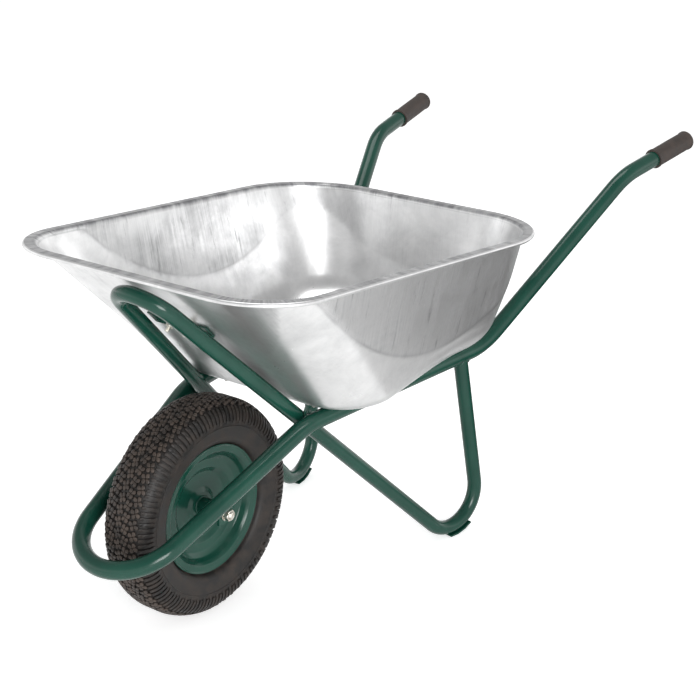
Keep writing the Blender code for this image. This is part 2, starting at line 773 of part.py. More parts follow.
def crossbar_mesh(half_width, tray, y):
    """An upturned channel whose top carries the tray's floor."""
    top = tray.underside(y) - SEAT_GAP
    pitch = math.atan(tray.slope)
    wide = CROSSBAR_WIDTH / 2
    thin = CROSSBAR_SHEET
    deep = CROSSBAR_DEPTH
    outline = [(-wide, -deep), (-wide, 0), (wide, 0), (wide, -deep),
               (wide - thin, -deep), (wide - thin, -thin),
               (-wide + thin, -thin), (-wide + thin, -deep)]
    result = bmesh.new()
    ends = []
    for x in (-half_width, half_width):
        loop = []
        for along, up in outline:
            loop.append(result.verts.new(Vector((
                x, y + along * math.cos(pitch) - up * math.sin(pitch),
                top + along * math.sin(pitch) + up * math.cos(pitch)))))
        ends.append(loop)
    join_rings(result, *ends)
    for end in ends:
        result.faces.new(end)
    return result


def build_crossbars(frame, tray, enamel):
    """Front and rear crossbars, coped over the main tubes.  Returns the bolt places."""
    bolts = []
    for name, back in (("front", FRONT_CROSSBAR_BACK), ("rear", REAR_CROSSBAR_BACK)):
        seat = frame.point_on_main(back)
        y = seat.y
        item = add_object(name + "_crossbar", crossbar_mesh(seat.x, tray, y), enamel)
        for side, sign in SIDES.items():
            path = frame.main_between(back - COPE_REACH, back + COPE_REACH, sign)
            cope = cutter_object(name + "_bar_cope_" + side,
                                 cope_rod(path, TUBE_RADIUS))
            cut(item, cope)
        inset = seat.x - TUBE_RADIUS - CROSSBAR_BOLT_INSET
        for side, sign in SIDES.items():
            bolts.append((name + "_" + side, item, Vector((sign * inset, y, tray.floor(y))),
                          Vector((0, tray.slope, -1)).normalized(), CROSSBAR_SHEET))
    return bolts


def build_strap(frame, tray, enamel):
    """The strap between the struts that holds the tray's front wall."""
    wall, normal, along = tray.front_wall(STRAP_HEIGHT)
    strut = frame.point_on_strut(STRAP_HEIGHT)
    depth_in = SEAT_GAP
    depth_out = SEAT_GAP + STRAP_SHEET
    half = strut.x
    result = bmesh.new()
    bottom_top = []
    for depth in (depth_in, depth_out):
        loop = []
        for x, rise in ((-half, -0.5), (half, -0.5), (half, 0.5), (-half, 0.5)):
            point = wall + normal * depth + along * rise * STRAP_WIDTH
            loop.append(result.verts.new(Vector((x, point.y, point.z))))
        bottom_top.append(loop)
    join_rings(result, *bottom_top)
    for loop in bottom_top:
        result.faces.new(loop)
    item = add_object("tray_support_strap", result, enamel)
    for side, sign in SIDES.items():
        path = frame.strut_between(STRAP_HEIGHT + STRAP_COPE, STRAP_HEIGHT - STRAP_COPE, sign)
        cope = cutter_object("strap_cope_" + side, cope_rod(path, STAND_RADIUS))
        cut(item, cope)
    inside = wall - normal * TRAY_SHEET
    return [("strap_" + side, item, Vector((sign * STRAP_BOLT_X, inside.y, inside.z)),
             normal, STRAP_SHEET) for side, sign in SIDES.items()]


def build_bolt(name, carrier, tray_item, start, direction, grip, zinc):
    """A round-headed tray bolt with its washer and nut, and its holes."""
    hole = BOLT_RADIUS + BOLT_HOLE_CLEARANCE
    depth = TRAY_SHEET + grip + 2 * HOLE_REACH
    cutter = cutter_object("hole_" + name,
                           cylinder(start - direction * HOLE_REACH, direction, hole, depth,
                                    BOLT_SEGMENTS))
    cut(carrier, cutter)
    cut(tray_item, cutter)
    washer_at = TRAY_SHEET + grip + 2 * SEAT_GAP
    nut_at = washer_at + BOLT_WASHER + SEAT_GAP
    tip = nut_at + BOLT_NUT + BOLT_STICKOUT
    outline = [(-SEAT_GAP - BOLT_HEAD, 0), (-SEAT_GAP - BOLT_HEAD, BOLT_HEAD_RADIUS * 0.45),
               (-SEAT_GAP - BOLT_HEAD * 0.6, BOLT_HEAD_RADIUS * 0.85),
               (-SEAT_GAP, BOLT_HEAD_RADIUS), (-SEAT_GAP, BOLT_RADIUS), (tip, BOLT_RADIUS),
               (tip, 0)]
    add_object("bolt_" + name, turned(outline, BOLT_SEGMENTS, start, direction), zinc)
    bore = BOLT_RADIUS + SEAT_GAP
    add_object("washer_" + name, ring(start + direction * washer_at, direction, bore,
                                      BOLT_WASHER_RADIUS, BOLT_WASHER, BOLT_SEGMENTS), zinc)
    add_object("nut_" + name, hex_nut(start + direction * nut_at, direction,
                                      BOLT_NUT_ACROSS, bore, BOLT_NUT), zinc)


def build_grips(frame, material):
    """Closed-end rubber grips pushed over the ends of the main tube."""
    end = frame.main_half[-1]
    direction = (end - frame.main_half[-2]).normalized()
    bore = TUBE_RADIUS + SEAT_GAP
    outer = bore + GRIP_WALL
    inside = GRIP_LENGTH - GRIP_END_WALL
    bore /= math.cos(math.pi / SMALL_SEGMENTS)
    outline = [(0, bore), (0, outer + GRIP_COLLAR), (GRIP_COLLAR_LENGTH, outer + GRIP_COLLAR),
               (GRIP_COLLAR_LENGTH + GRIP_COLLAR, outer), (GRIP_LENGTH - 0.012, outer),
               (GRIP_LENGTH - 0.006, outer + 0.0008), (GRIP_LENGTH - 0.001, outer - 0.0015),
               (GRIP_LENGTH, outer - 0.005), (GRIP_LENGTH, 0), (inside, 0), (inside, bore)]
    for side, sign in SIDES.items():
        along = Vector((sign * direction.x, direction.y, direction.z))
        tip = Vector((sign * end.x, end.y, end.z))
        start = tip - along * (inside - SEAT_GAP)
        add_object("grip_" + side, turned(outline, SMALL_SEGMENTS, start, along), material)


def build_axle(materials):
    """The fixed axle rod with spacers, washers and nuts."""
    bracket_out = AXLE_BRACKET_X + AXLE_BRACKET_SHEET
    washer_x = bracket_out + SEAT_GAP
    nut_x = washer_x + AXLE_WASHER + SEAT_GAP
    half = nut_x + AXLE_NUT + AXLE_STICKOUT
    centre = place(0, 0, AXLE_HEIGHT)
    rod = cylinder(centre - Vector((half, 0, 0)), Vector((1, 0, 0)), AXLE_RADIUS, 2 * half)
    add_object("axle_rod", rod, materials["zinc"], centre)
    bush_face = HUB_HALF_LENGTH + SEAT_GAP + BUSH_FLANGE
    bore = AXLE_RADIUS + SEAT_GAP
    for side, sign in SIDES.items():
        out = Vector((sign, 0, 0))
        spacer_x = bush_face + 2 * SEAT_GAP
        length = AXLE_BRACKET_X - SEAT_GAP - spacer_x
        add_object("axle_spacer_" + side,
                   ring(centre + out * spacer_x, out, bore, AXLE_SPACER_RADIUS, length),
                   materials["zinc"])
        add_object("axle_washer_" + side,
                   ring(centre + out * washer_x, out, bore, AXLE_WASHER_RADIUS, AXLE_WASHER),
                   materials["zinc"])
        add_object("axle_nut_" + side,
                   hex_nut(centre + out * nut_x, out, AXLE_NUT_ACROSS, bore, AXLE_NUT),
                   materials["zinc"])


# ---------------------------------------------------------------- wheel pieces
def rim_outline():
    """Section of one pressed rim half: hub flange, stepped disc, seat and lip."""
    hub = BUSH_RADIUS + SEAT_GAP + HUB_WALL + SEAT_GAP
    seat = RIM_SEAT_RADIUS
    t = RIM_SHEET
    split = SEAT_GAP / 2
    lip = seat + RIM_FLANGE_HEIGHT
    outside = [(DISC_INNER_X + 0.0040, hub), (DISC_INNER_X + 0.0040, hub + 0.010),
               (DISC_INNER_X, hub + 0.018), (DISC_INNER_X, DISC_STEP_RADIUS),
               (DISC_OUTER_X, DISC_STEP_RADIUS + 0.010), (DISC_OUTER_X, seat - 0.016),
               (DISC_OUTER_X + 0.006, seat - 0.006), (RIM_HALF_WIDTH - 0.006, seat - t),
               (RIM_HALF_WIDTH, seat + 0.002), (RIM_HALF_WIDTH, lip - 0.003),
               (RIM_HALF_WIDTH + RIM_LIP, lip)]
    tyre_side = [(RIM_HALF_WIDTH + RIM_LIP - 0.0015, lip + 0.0012),
                 (RIM_HALF_WIDTH - t, lip - 0.002), (RIM_HALF_WIDTH - t, seat + 0.003),
                 (RIM_HALF_WIDTH - 0.007, seat), (DISC_OUTER_X, seat - 0.003),
                 (split, seat - 0.010), (DISC_OUTER_X - t, seat - 0.016),
                 (DISC_OUTER_X - t, DISC_STEP_RADIUS + 0.011),
                 (split, DISC_STEP_RADIUS + 0.001), (split, hub)]
    return outside + tyre_side


def tyre_cavity(inset):
    """Right half of the tyre's inside, from the crown to the bead, moved inward."""
    side = RIM_HALF_WIDTH - RIM_SHEET - SEAT_GAP
    seat = RIM_SEAT_RADIUS + SEAT_GAP
    flange = RIM_SEAT_RADIUS + RIM_FLANGE_HEIGHT
    belly = (flange + WHEEL_RADIUS) / 2
    under_tread = WHEEL_RADIUS - TREAD_THICKNESS - inset
    wall = TYRE_WALL + inset
    return [(TYRE_HALF_WIDTH * 0.45 - inset * 0.3, under_tread - 0.002),
            (TYRE_HALF_WIDTH * 0.78 - wall, under_tread - 0.010),
            (TYRE_HALF_WIDTH - wall, belly + 0.006 - inset * 0.5),
            (TYRE_HALF_WIDTH - wall, belly - 0.008 + inset * 0.5),
            (side - wall, flange + inset * 0.5), (side - 0.009 - inset, seat + 0.006)]


def tyre_outline():
    """Section of the tyre, from bead to bead over the crown, and back inside."""
    seat = RIM_SEAT_RADIUS + SEAT_GAP
    side = RIM_HALF_WIDTH - RIM_SHEET - SEAT_GAP
    flange = RIM_SEAT_RADIUS + RIM_FLANGE_HEIGHT
    crown = WHEEL_RADIUS
    wide = TYRE_HALF_WIDTH
    outside = [(side - 0.007, seat + 0.0004), (side, seat + 0.0045), (side, flange - 0.0010),
               (side + 0.0018, flange + 0.0035), (wide * 0.93, flange + 0.013),
               (wide, (flange + crown) / 2 - 0.002), (wide * 0.97, crown - 0.024),
               (wide * 0.80, crown - 0.010), (wide * 0.45, crown - 0.002)]
    inside = tyre_cavity(0)
    outer = outside + [(0, crown)] + [(-x, r) for x, r in reversed(outside)]
    inner = [(-x, r) for x, r in reversed(inside)] + [(0, crown - TREAD_THICKNESS)] + inside
    return outer + inner


def inner_tube_outline(inset):
    """Section of the inflated inner tube, an inset inside the tyre."""
    cavity = tyre_cavity(inset)
    half = cavity[1:5]
    low = RIM_SEAT_RADIUS + SEAT_GAP + inset
    neck = cavity[5][0] - 0.0015
    left = [(-neck, low)] + [(-x, r) for x, r in reversed(half)]
    return left + [(0, WHEEL_RADIUS - TREAD_THICKNESS - inset)] + half + [(neck, low)]


def build_inner_tube(centre, material):
    """A hollow ring of butyl rubber with the valve's hole through its inner side."""
    axis = Vector((1, 0, 0))
    outside = turned(inner_tube_outline(SEAT_GAP), WHEEL_SEGMENTS, centre, axis)
    item = add_object("inner_tube", outside, material, centre)
    hollow = turned(inner_tube_outline(SEAT_GAP + INNER_TUBE_WALL), WHEEL_SEGMENTS, centre, axis)
    cut(item, cutter_object("inner_tube_hollow", hollow))
    foot, lean = valve_line(centre)
    hole = cylinder(foot - lean * HOLE_REACH, lean, VALVE_RADIUS + SEAT_GAP, 2 * HOLE_REACH,
                    BOLT_SEGMENTS)
    cut(item, cutter_object("inner_tube_valve_hole", hole))


def valve_line(centre):
    """The valve's foot in the inner tube's wall, and its direction to the cap."""
    lean = Vector((-math.sin(VALVE_LEAN), 0, -math.cos(VALVE_LEAN)))
    height = RIM_SEAT_RADIUS + 2 * SEAT_GAP + INNER_TUBE_WALL
    return centre + Vector((-VALVE_FOOT_X, 0, height)), lean


def build_valve(centre, rim, materials):
    """The valve stem, which leaves through one rim half, and its cap."""
    foot, lean = valve_line(centre)
    hole = cylinder(foot, lean, VALVE_RADIUS + VALVE_HOLE_CLEARANCE, VALVE_LENGTH, BOLT_SEGMENTS)
    cut(rim, cutter_object("rim_valve_hole", hole))
    stem = cylinder(foot, lean, VALVE_RADIUS, VALVE_LENGTH, BOLT_SEGMENTS)
    add_object("valve_stem", stem, materials["zinc"], centre)
    tip = foot + lean * VALVE_LENGTH
    bore = VALVE_RADIUS + SEAT_GAP
    closed = VALVE_CAP_LENGTH - VALVE_CAP_GRIP
    outline = [(-VALVE_CAP_GRIP, bore), (-VALVE_CAP_GRIP, VALVE_CAP_RADIUS),
               (closed, VALVE_CAP_RADIUS), (closed, 0), (SEAT_GAP, 0), (SEAT_GAP, bore)]
    add_object("valve_cap", turned(outline, BOLT_SEGMENTS, tip, lean), materials["plastic"],
               centre)


def build_wheel(materials):
    """Everything that turns on the axle."""
    centre = place(0, 0, AXLE_HEIGHT)
    axis = Vector((1, 0, 0))
    add_object("tyre", turned(tyre_outline(), WHEEL_SEGMENTS, centre, axis),
               materials["tyre"], centre)
    build_inner_tube(centre, materials["butyl"])
    rims = {}
    for side, sign in SIDES.items():
        outward = Vector((sign, 0, 0))
        rims[side] = add_object("rim_" + side,
                                turned(rim_outline(), WHEEL_SEGMENTS, centre, outward),
                                materials["enamel"], centre)
    build_valve(centre, rims["right"], materials)
    hub_bore = BUSH_RADIUS + SEAT_GAP
    add_object("hub_tube", ring(centre - axis * HUB_HALF_LENGTH, axis, hub_bore,
                                hub_bore + HUB_WALL, 2 * HUB_HALF_LENGTH, SHAFT_SEGMENTS),
               materials["enamel"], centre)
    bore = AXLE_RADIUS + RUNNING_CLEARANCE
    for side, sign in SIDES.items():
        outward = Vector((sign, 0, 0))
        face = HUB_HALF_LENGTH + SEAT_GAP
        outline = [(face - BUSH_LENGTH, bore), (face - BUSH_LENGTH, BUSH_RADIUS),
                   (face, BUSH_RADIUS), (face, BUSH_FLANGE_RADIUS),
                   (face + BUSH_FLANGE, BUSH_FLANGE_RADIUS), (face + BUSH_FLANGE, bore)]
        add_object("wheel_bush_" + side, turned(outline, SHAFT_SEGMENTS, centre, outward),
                   materials["nylon"], centre)


def main():
    """Build the whole wheelbarrow."""
    clear_scene()
    materials = make_materials()
    frame = FrameLayout()
    tray = TrayLayout(frame)
    build_tubes(frame, materials["enamel"])
    for side, sign in SIDES.items():
        add_object("foot_skid_" + side, skid_mesh(frame, sign), materials["enamel"],
                   smooth_angle=20)
    build_axle_brackets(frame, materials["enamel"])
    build_axle(materials)
    build_wheel(materials)
    tray_item = build_tray(tray, materials["galvanised"])
    bolts = build_crossbars(frame, tray, materials["enamel"])
    bolts += build_strap(frame, tray, materials["enamel"])
    for name, carrier, start, direction, grip in bolts:
        build_bolt(name, carrier, tray_item, start, direction, grip, materials["zinc"])
    build_grips(frame, materials["grip"])


main()
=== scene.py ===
"""The finished look of a builder's wheelbarrow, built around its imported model.

Metres, +Z up.  The wheel is at -Y, the handles at +Y, the user's left is +X, the
floor is Z = 0 and X = 0 is the symmetry plane.  Lengths along the barrow are
measured from the axle, as on the drawing of the real frame.
"""
import json
import logging
import math
from dataclasses import dataclass, field
from enum import Enum
from typing import Callable, Sequence

import bmesh
import bpy
from mathutils import Matrix, Vector, noise


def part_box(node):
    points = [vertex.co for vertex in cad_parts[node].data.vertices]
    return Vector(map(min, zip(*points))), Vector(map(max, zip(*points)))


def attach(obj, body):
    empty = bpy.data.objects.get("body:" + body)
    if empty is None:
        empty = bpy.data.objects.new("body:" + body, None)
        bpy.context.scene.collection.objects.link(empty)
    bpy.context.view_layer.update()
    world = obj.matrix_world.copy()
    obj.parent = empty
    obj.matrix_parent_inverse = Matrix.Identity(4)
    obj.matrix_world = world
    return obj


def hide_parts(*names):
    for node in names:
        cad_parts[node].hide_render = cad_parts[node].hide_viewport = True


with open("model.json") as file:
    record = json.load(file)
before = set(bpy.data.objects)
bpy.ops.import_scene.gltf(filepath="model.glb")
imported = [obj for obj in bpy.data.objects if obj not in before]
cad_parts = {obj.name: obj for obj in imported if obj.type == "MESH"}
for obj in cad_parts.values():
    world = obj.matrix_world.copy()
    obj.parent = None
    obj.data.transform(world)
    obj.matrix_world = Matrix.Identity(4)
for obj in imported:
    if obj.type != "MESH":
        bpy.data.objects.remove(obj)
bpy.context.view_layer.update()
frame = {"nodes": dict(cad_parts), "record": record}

log = logging.getLogger("wheelbarrow")

Outline = list[tuple[float, float]]
Path = list[Vector]
Colour = tuple[float, float, float]


# ---------------------------------------------------------------- names
class Body(Enum):
    """The two bodies that the axle joins."""

    FRAME = "frame"
    WHEEL = "wheel"


class Side(Enum):
    """A side of the barrow, seen by the person who pushes it."""

    LEFT = 1
    RIGHT = -1

    @property
    def word(self) -> str:
        """The side's name in lower case."""
        return self.name.lower()

    def point(self, point: Vector) -> Vector:
        """A point of the left half moved to this side."""
        return Vector((self.value * point.x, point.y, point.z))


class Slot(Enum):
    """The record's material slots."""

    ENAMEL = "green_enamel"
    SHEET = "galvanised_sheet"
    ZINC = "zinc_plate"
    TYRE = "tyre_rubber"
    BUTYL = "butyl_rubber"
    GRIP = "grip_rubber"
    NYLON = "bush_nylon"
    CAP = "cap_plastic"


# ---------------------------------------------------------------- materials
class NodeSketch:
    """A material under construction, with short calls for its nodes."""

    def __init__(self, name: str) -> None:
        """Start an empty Principled material.

        Args:
            name: the material's name.
        """
        self.material = bpy.data.materials.new(name)
        self.material.use_nodes = True
        self.tree = self.material.node_tree
        self.shader = self.tree.nodes["Principled BSDF"]

    def link(self, source: bpy.types.NodeSocket, target: bpy.types.NodeSocket) -> None:
        """Join two sockets."""
        self.tree.links.new(source, target)

    def set(self, name: str, value: float | Colour) -> None:
        """Set one of the shader's own values."""
        socket = self.shader.inputs[name]
        socket.default_value = (*value, 1.0) if isinstance(value, tuple) else value

    def drive(self, name: str, source: bpy.types.NodeSocket) -> None:
        """Drive one of the shader's values from a node."""
        self.link(source, self.shader.inputs[name])

    def place(self, stretch: Colour = (1.0, 1.0, 1.0)) -> bpy.types.NodeSocket:
        """The piece's own coordinates in metres, stretched per axis."""
        coordinates = self.tree.nodes.new("ShaderNodeTexCoord").outputs["Object"]
        return self.stretched(coordinates, stretch)

    def stretched(self, source: bpy.types.NodeSocket, stretch: Colour) -> bpy.types.NodeSocket:
        """A vector multiplied per axis."""
        mapping = self.tree.nodes.new("ShaderNodeMapping")
        mapping.inputs["Scale"].default_value = stretch
        self.link(source, mapping.inputs["Vector"])
        return mapping.outputs["Vector"]

    def attribute(self, name: str) -> bpy.types.Node:
        """A node that reads a mesh attribute."""
        item = self.tree.nodes.new("ShaderNodeAttribute")
        item.attribute_name = name
        return item

    def noise(self, vector: bpy.types.NodeSocket, scale: float, detail: float = 3.0,
              roughness: float = 0.5, distortion: float = 0.0) -> bpy.types.NodeSocket:
        """A noise value from 0 to 1.

        Args:
            vector: where to read it.
            scale: features per metre.
            detail: octaves.
            roughness: strength of the finer octaves.
            distortion: how far the pattern is warped.

        Returns:
            The noise's value.
        """
        item = self.tree.nodes.new("ShaderNodeTexNoise")
        item.inputs["Scale"].default_value = scale
        item.inputs["Detail"].default_value = detail
        item.inputs["Roughness"].default_value = roughness
        item.inputs["Distortion"].default_value = distortion
        self.link(vector, item.inputs["Vector"])
        return item.outputs["Fac"]

    def cells(self, vector: bpy.types.NodeSocket, scale: float) -> bpy.types.NodeSocket:
        """One random grey per cell of a Voronoi pattern."""
        item = self.tree.nodes.new("ShaderNodeTexVoronoi")
        item.inputs["Scale"].default_value = scale
        self.link(vector, item.inputs["Vector"])
        split = self.tree.nodes.new("ShaderNodeSeparateColor")
        self.link(item.outputs["Color"], split.inputs["Color"])
        return split.outputs[0]

    def spread(self, value: bpy.types.NodeSocket, low: float, high: float,
               to_low: float = 0.0, to_high: float = 1.0) -> bpy.types.NodeSocket:
        """A value's range moved to another range and held inside it."""
        item = self.tree.nodes.new("ShaderNodeMapRange")
        for name, number in (("From Min", low), ("From Max", high),
                             ("To Min", to_low), ("To Max", to_high)):
            item.inputs[name].default_value = number
        self.link(value, item.inputs["Value"])
        return item.outputs["Result"]

    def maths(self, operation: str, first: bpy.types.NodeSocket | float,
              second: bpy.types.NodeSocket | float = 0.0) -> bpy.types.NodeSocket:
        """Arithmetic on two values, held from 0 to 1."""
        item = self.tree.nodes.new("ShaderNodeMath")
        item.operation = operation
        item.use_clamp = True
        for socket, value in zip(item.inputs, (first, second)):
            if isinstance(value, (int, float)):
                socket.default_value = value
            else:
                self.link(value, socket)
        return item.outputs[0]

    def blend(self, share: bpy.types.NodeSocket, first: bpy.types.NodeSocket | Colour,
              second: bpy.types.NodeSocket | Colour) -> bpy.types.NodeSocket:
        """A colour between two colours."""
        item = self.tree.nodes.new("ShaderNodeMix")
        item.data_type = "RGBA"
        self.link(share, item.inputs["Factor"])
        for socket, value in zip(item.inputs[6:8], (first, second)):
            if isinstance(value, tuple):
                socket.default_value = (*value, 1.0)
            else:
                self.link(value, socket)
        return item.outputs[2]

    def bump(self, height: bpy.types.NodeSocket, depth: float,
             below: bpy.types.NodeSocket | None = None) -> bpy.types.NodeSocket:
        """A normal disturbed by a height.

        Args:
            height: the height, from 0 to 1.
            depth: metres between heights 0 and 1.
            below: a normal that this one adds to.

        Returns:
            The disturbed normal.
        """
        item = self.tree.nodes.new("ShaderNodeBump")
        item.inputs["Distance"].default_value = depth
        self.link(height, item.inputs["Height"])
        if below is not None:
            self.link(below, item.inputs["Normal"])
        return item.outputs["Normal"]


@dataclass(frozen=True)
class Enamel:
    """Glossy stove enamel over bent tube, with orange peel and faint handling marks."""

    colour: Colour = (0.0040, 0.0440, 0.0295)
    thin_colour: Colour = (0.0070, 0.0580, 0.0390)
    roughness: tuple[float, float] = (0.16, 0.28)
    gloss: float = 0.32
    coat: float = 0.12
    coat_roughness: float = 0.08
    cloud_scale: float = 14.0
    smear_scale: float = 55.0
    peel_scale: float = 260.0
    peel_depth: float = 0.00006

    def make(self) -> bpy.types.Material:
        """The enamel as a material."""
        sketch = NodeSketch("green_enamel_paint")
        place = sketch.place()
        clouds = sketch.noise(place, self.cloud_scale, 4.0)
        sketch.drive("Base Color", sketch.blend(sketch.spread(clouds, 0.35, 0.70),
                                                self.colour, self.thin_colour))
        smears = sketch.noise(place, self.smear_scale, 5.0, 0.6)
        sketch.drive("Roughness", sketch.spread(smears, 0.30, 0.75, *self.roughness))
        sketch.set("Specular IOR Level", self.gloss)
        sketch.set("Coat Weight", self.coat)
        sketch.set("Coat Roughness", self.coat_roughness)
        peel = sketch.noise(place, self.peel_scale, 2.0)
        sketch.drive("Normal", sketch.bump(peel, self.peel_depth))
        return sketch.material


@dataclass(frozen=True)
class DrawnSheet:
    """Galvanised sheet after deep drawing: streaked walls, mottled zinc, a few scuffs.

    The mesh attribute "sheet" gives a point's place along its wall and its metres up
    the wall.  "drawn" says how much it was drawn over the die: up to 1 on the walls,
    and above 1 on the lip, where it sets the lip's grey wear and painted shade.  A
    "lines" field is a noise's features per metre along the wall, twice, and up it.
    """

    bright: Colour = (0.87, 0.87, 0.87)
    dull: Colour = (0.42, 0.425, 0.43)
    dark_mark: Colour = (0.15, 0.15, 0.16)
    roughness: tuple[float, float] = (0.27, 0.52)
    metal: float = 0.92
    fine_lines: Colour = (330.0, 330.0, 7.0)
    broad_lines: Colour = (48.0, 48.0, 3.0)
    smear_lines: Colour = (75.0, 75.0, 9.0)
    patch_lines: Colour = (7.0, 7.0, 9.0)
    mottle_scale: float = 13.0
    spangle_scale: float = 150.0
    fine_share: float = 0.42
    streak_dulling: float = 0.70
    mottle_dulling: float = 0.40
    spangle_dulling: float = 0.05
    die_dulling: float = 0.10
    smear_strength: float = 0.62
    edge_strength: tuple[float, float] = (0.10, 0.36)
    # How far the lip is darkened: grey wear with painted shade, darkest along its bends.
    lip_wear: float = 0.88
    scratch_depth: float = 0.00010
    mottle_depth: float = 0.0003

    def make(self) -> bpy.types.Material:
        """The drawn sheet as a material."""
        sketch = NodeSketch("galvanised_drawn_sheet")
        place = sketch.place()
        wall = sketch.attribute("sheet").outputs["Vector"]
        drawn = sketch.attribute("drawn").outputs["Fac"]
        over_die = sketch.spread(drawn, 0.2, 1.0, 0.06, 1.0)
        broad = sketch.noise(sketch.stretched(wall, self.broad_lines), 1.0, 4.0, 0.65)
        patches = sketch.noise(sketch.stretched(wall, self.patch_lines), 1.0, 3.0, 0.6)
        streaks = self.streaks(sketch, wall, broad)
        streaks = sketch.maths("MULTIPLY", streaks, over_die)
        streaks = sketch.maths("MULTIPLY", streaks,
                               sketch.spread(patches, 0.36, 0.62, 0.25, 1.0))
        mottle = sketch.noise(place, self.mottle_scale, 7.0, 0.64, 0.4)
        cloud = sketch.spread(mottle, 0.38, 0.70)
        spangle = sketch.cells(place, self.spangle_scale)
        dullness = sketch.maths("MULTIPLY", streaks, self.streak_dulling)
        for layer, amount in ((cloud, self.mottle_dulling), (spangle, self.spangle_dulling),
                              (over_die, self.die_dulling)):
            dullness = sketch.maths("ADD", dullness, sketch.maths("MULTIPLY", layer, amount))
        colour = sketch.blend(dullness, self.bright, self.dull)
        # Dark smears, a dark line at the die's edge, and the lip's grey wear with painted shade
        # along its bends.
        for mark_and_shade in (self.smears(sketch, wall, over_die), self.die_edge(sketch, drawn, patches),
                     self.worn_lip(sketch, drawn, broad)):
            colour = sketch.blend(mark_and_shade, colour, self.dark_mark)
        sketch.drive("Base Color", colour)
        sketch.set("Metallic", self.metal)
        sketch.drive("Roughness", sketch.spread(dullness, 0.0, 1.0, *self.roughness))
        scratch = sketch.bump(streaks, self.scratch_depth)
        sketch.drive("Normal", sketch.bump(mottle, self.mottle_depth, scratch))
        return sketch.material

    def streaks(self, sketch: NodeSketch, wall: bpy.types.NodeSocket,
                broad: bpy.types.NodeSocket) -> bpy.types.NodeSocket:
        """Lines that the die drew up the wall, fine ones on broad ones."""
        fine = sketch.noise(sketch.stretched(wall, self.fine_lines), 1.0, 3.0, 0.6)
        both = sketch.maths("ADD", sketch.maths("MULTIPLY", fine, self.fine_share),
                            sketch.maths("MULTIPLY", broad, 1.0 - self.fine_share))
        return sketch.spread(both, 0.40, 0.68)

    def smears(self, sketch: NodeSketch, wall: bpy.types.NodeSocket,
               over_die: bpy.types.NodeSocket) -> bpy.types.NodeSocket:
        """A few dark smears where the wall was drawn."""
        smears = sketch.noise(sketch.stretched(wall, self.smear_lines), 1.0, 5.0, 0.72)
        smears = sketch.maths("MULTIPLY", sketch.spread(smears, 0.59, 0.72), over_die)
        return sketch.maths("MULTIPLY", smears, self.smear_strength)

    def die_edge(self, sketch: NodeSketch, drawn: bpy.types.NodeSocket,
                 patches: bpy.types.NodeSocket) -> bpy.types.NodeSocket:
        """The faint dark line along the lowest reach of the die."""
        line = sketch.maths("MULTIPLY", sketch.spread(drawn, 0.30, 0.62),
                            sketch.spread(drawn, 0.62, 0.95, 1.0, 0.0))
        return sketch.maths("MULTIPLY", line,
                            sketch.spread(patches, 0.34, 0.60, *self.edge_strength))

    def worn_lip(self, sketch: NodeSketch, drawn: bpy.types.NodeSocket,
                 broad: bpy.types.NodeSocket) -> bpy.types.NodeSocket:
        """Grey wear and painted shade on the lip, with painted shade lines along its two bends."""
        return sketch.maths("MULTIPLY", sketch.spread(drawn, 1.0, 1.5, 0.0, self.lip_wear),
                            sketch.spread(broad, 0.30, 0.62, 0.50, 1.0))


@dataclass(frozen=True)
class ZincPlate:
    """Bright zinc on fasteners, with a faint yellow cast and tumbling marks."""

    clean: Colour = (0.74, 0.72, 0.66)
    stained: Colour = (0.50, 0.45, 0.36)
    roughness: tuple[float, float] = (0.20, 0.42)
    stain_scale: float = 170.0
    knock_scale: float = 900.0
    knock_depth: float = 0.00004

    def make(self) -> bpy.types.Material:
        """The plating as a material."""
        sketch = NodeSketch("bright_zinc_plate")
        place = sketch.place()
        stain = sketch.noise(place, self.stain_scale, 4.0, 0.6)
        sketch.drive("Base Color", sketch.blend(sketch.spread(stain, 0.42, 0.72),
                                                self.clean, self.stained))
        sketch.set("Metallic", 1.0)
        sketch.drive("Roughness", sketch.spread(stain, 0.3, 0.7, *self.roughness))
        knocks = sketch.noise(place, self.knock_scale, 2.0)
        sketch.drive("Normal", sketch.bump(knocks, self.knock_depth))
        return sketch.material


@dataclass(frozen=True)
class TyreRubber:
    """Brown-black tyre rubber, dusty on the tread and smoother on the sidewall.

    The mesh attribute "relief" is 1 on top of the tread and 0 in its grooves.
    """

    groove: Colour = (0.012, 0.010, 0.009)
    wall: Colour = (0.0085, 0.0075, 0.0072)
    dusty: Colour = (0.062, 0.046, 0.037)
    roughness: tuple[float, float] = (0.36, 0.66)
    gloss: float = 0.36
    dust_scale: float = 38.0
    pore_scale: float = 700.0
    pore_depth: float = 0.00012

    def make(self) -> bpy.types.Material:
        """The rubber as a material."""
        sketch = NodeSketch("tyre_tread_rubber")
        place = sketch.place()
        relief = sketch.attribute("relief").outputs["Fac"]
        dust = sketch.noise(place, self.dust_scale, 6.0, 0.65)
        wall = sketch.blend(sketch.spread(dust, 0.40, 1.00), self.wall, self.dusty)
        low = sketch.spread(relief, 0.0, 0.30)
        base = sketch.blend(low, self.groove, wall)
        top = sketch.maths("MULTIPLY", sketch.spread(relief, 0.55, 1.0),
                           sketch.spread(dust, 0.30, 0.62))
        sketch.drive("Base Color", sketch.blend(top, base, self.dusty))
        sketch.drive("Roughness", sketch.spread(dust, 0.30, 0.70, *self.roughness))
        sketch.set("Specular IOR Level", self.gloss)
        pores = sketch.noise(place, self.pore_scale, 3.0)
        sketch.drive("Normal", sketch.bump(pores, self.pore_depth))
        return sketch.material


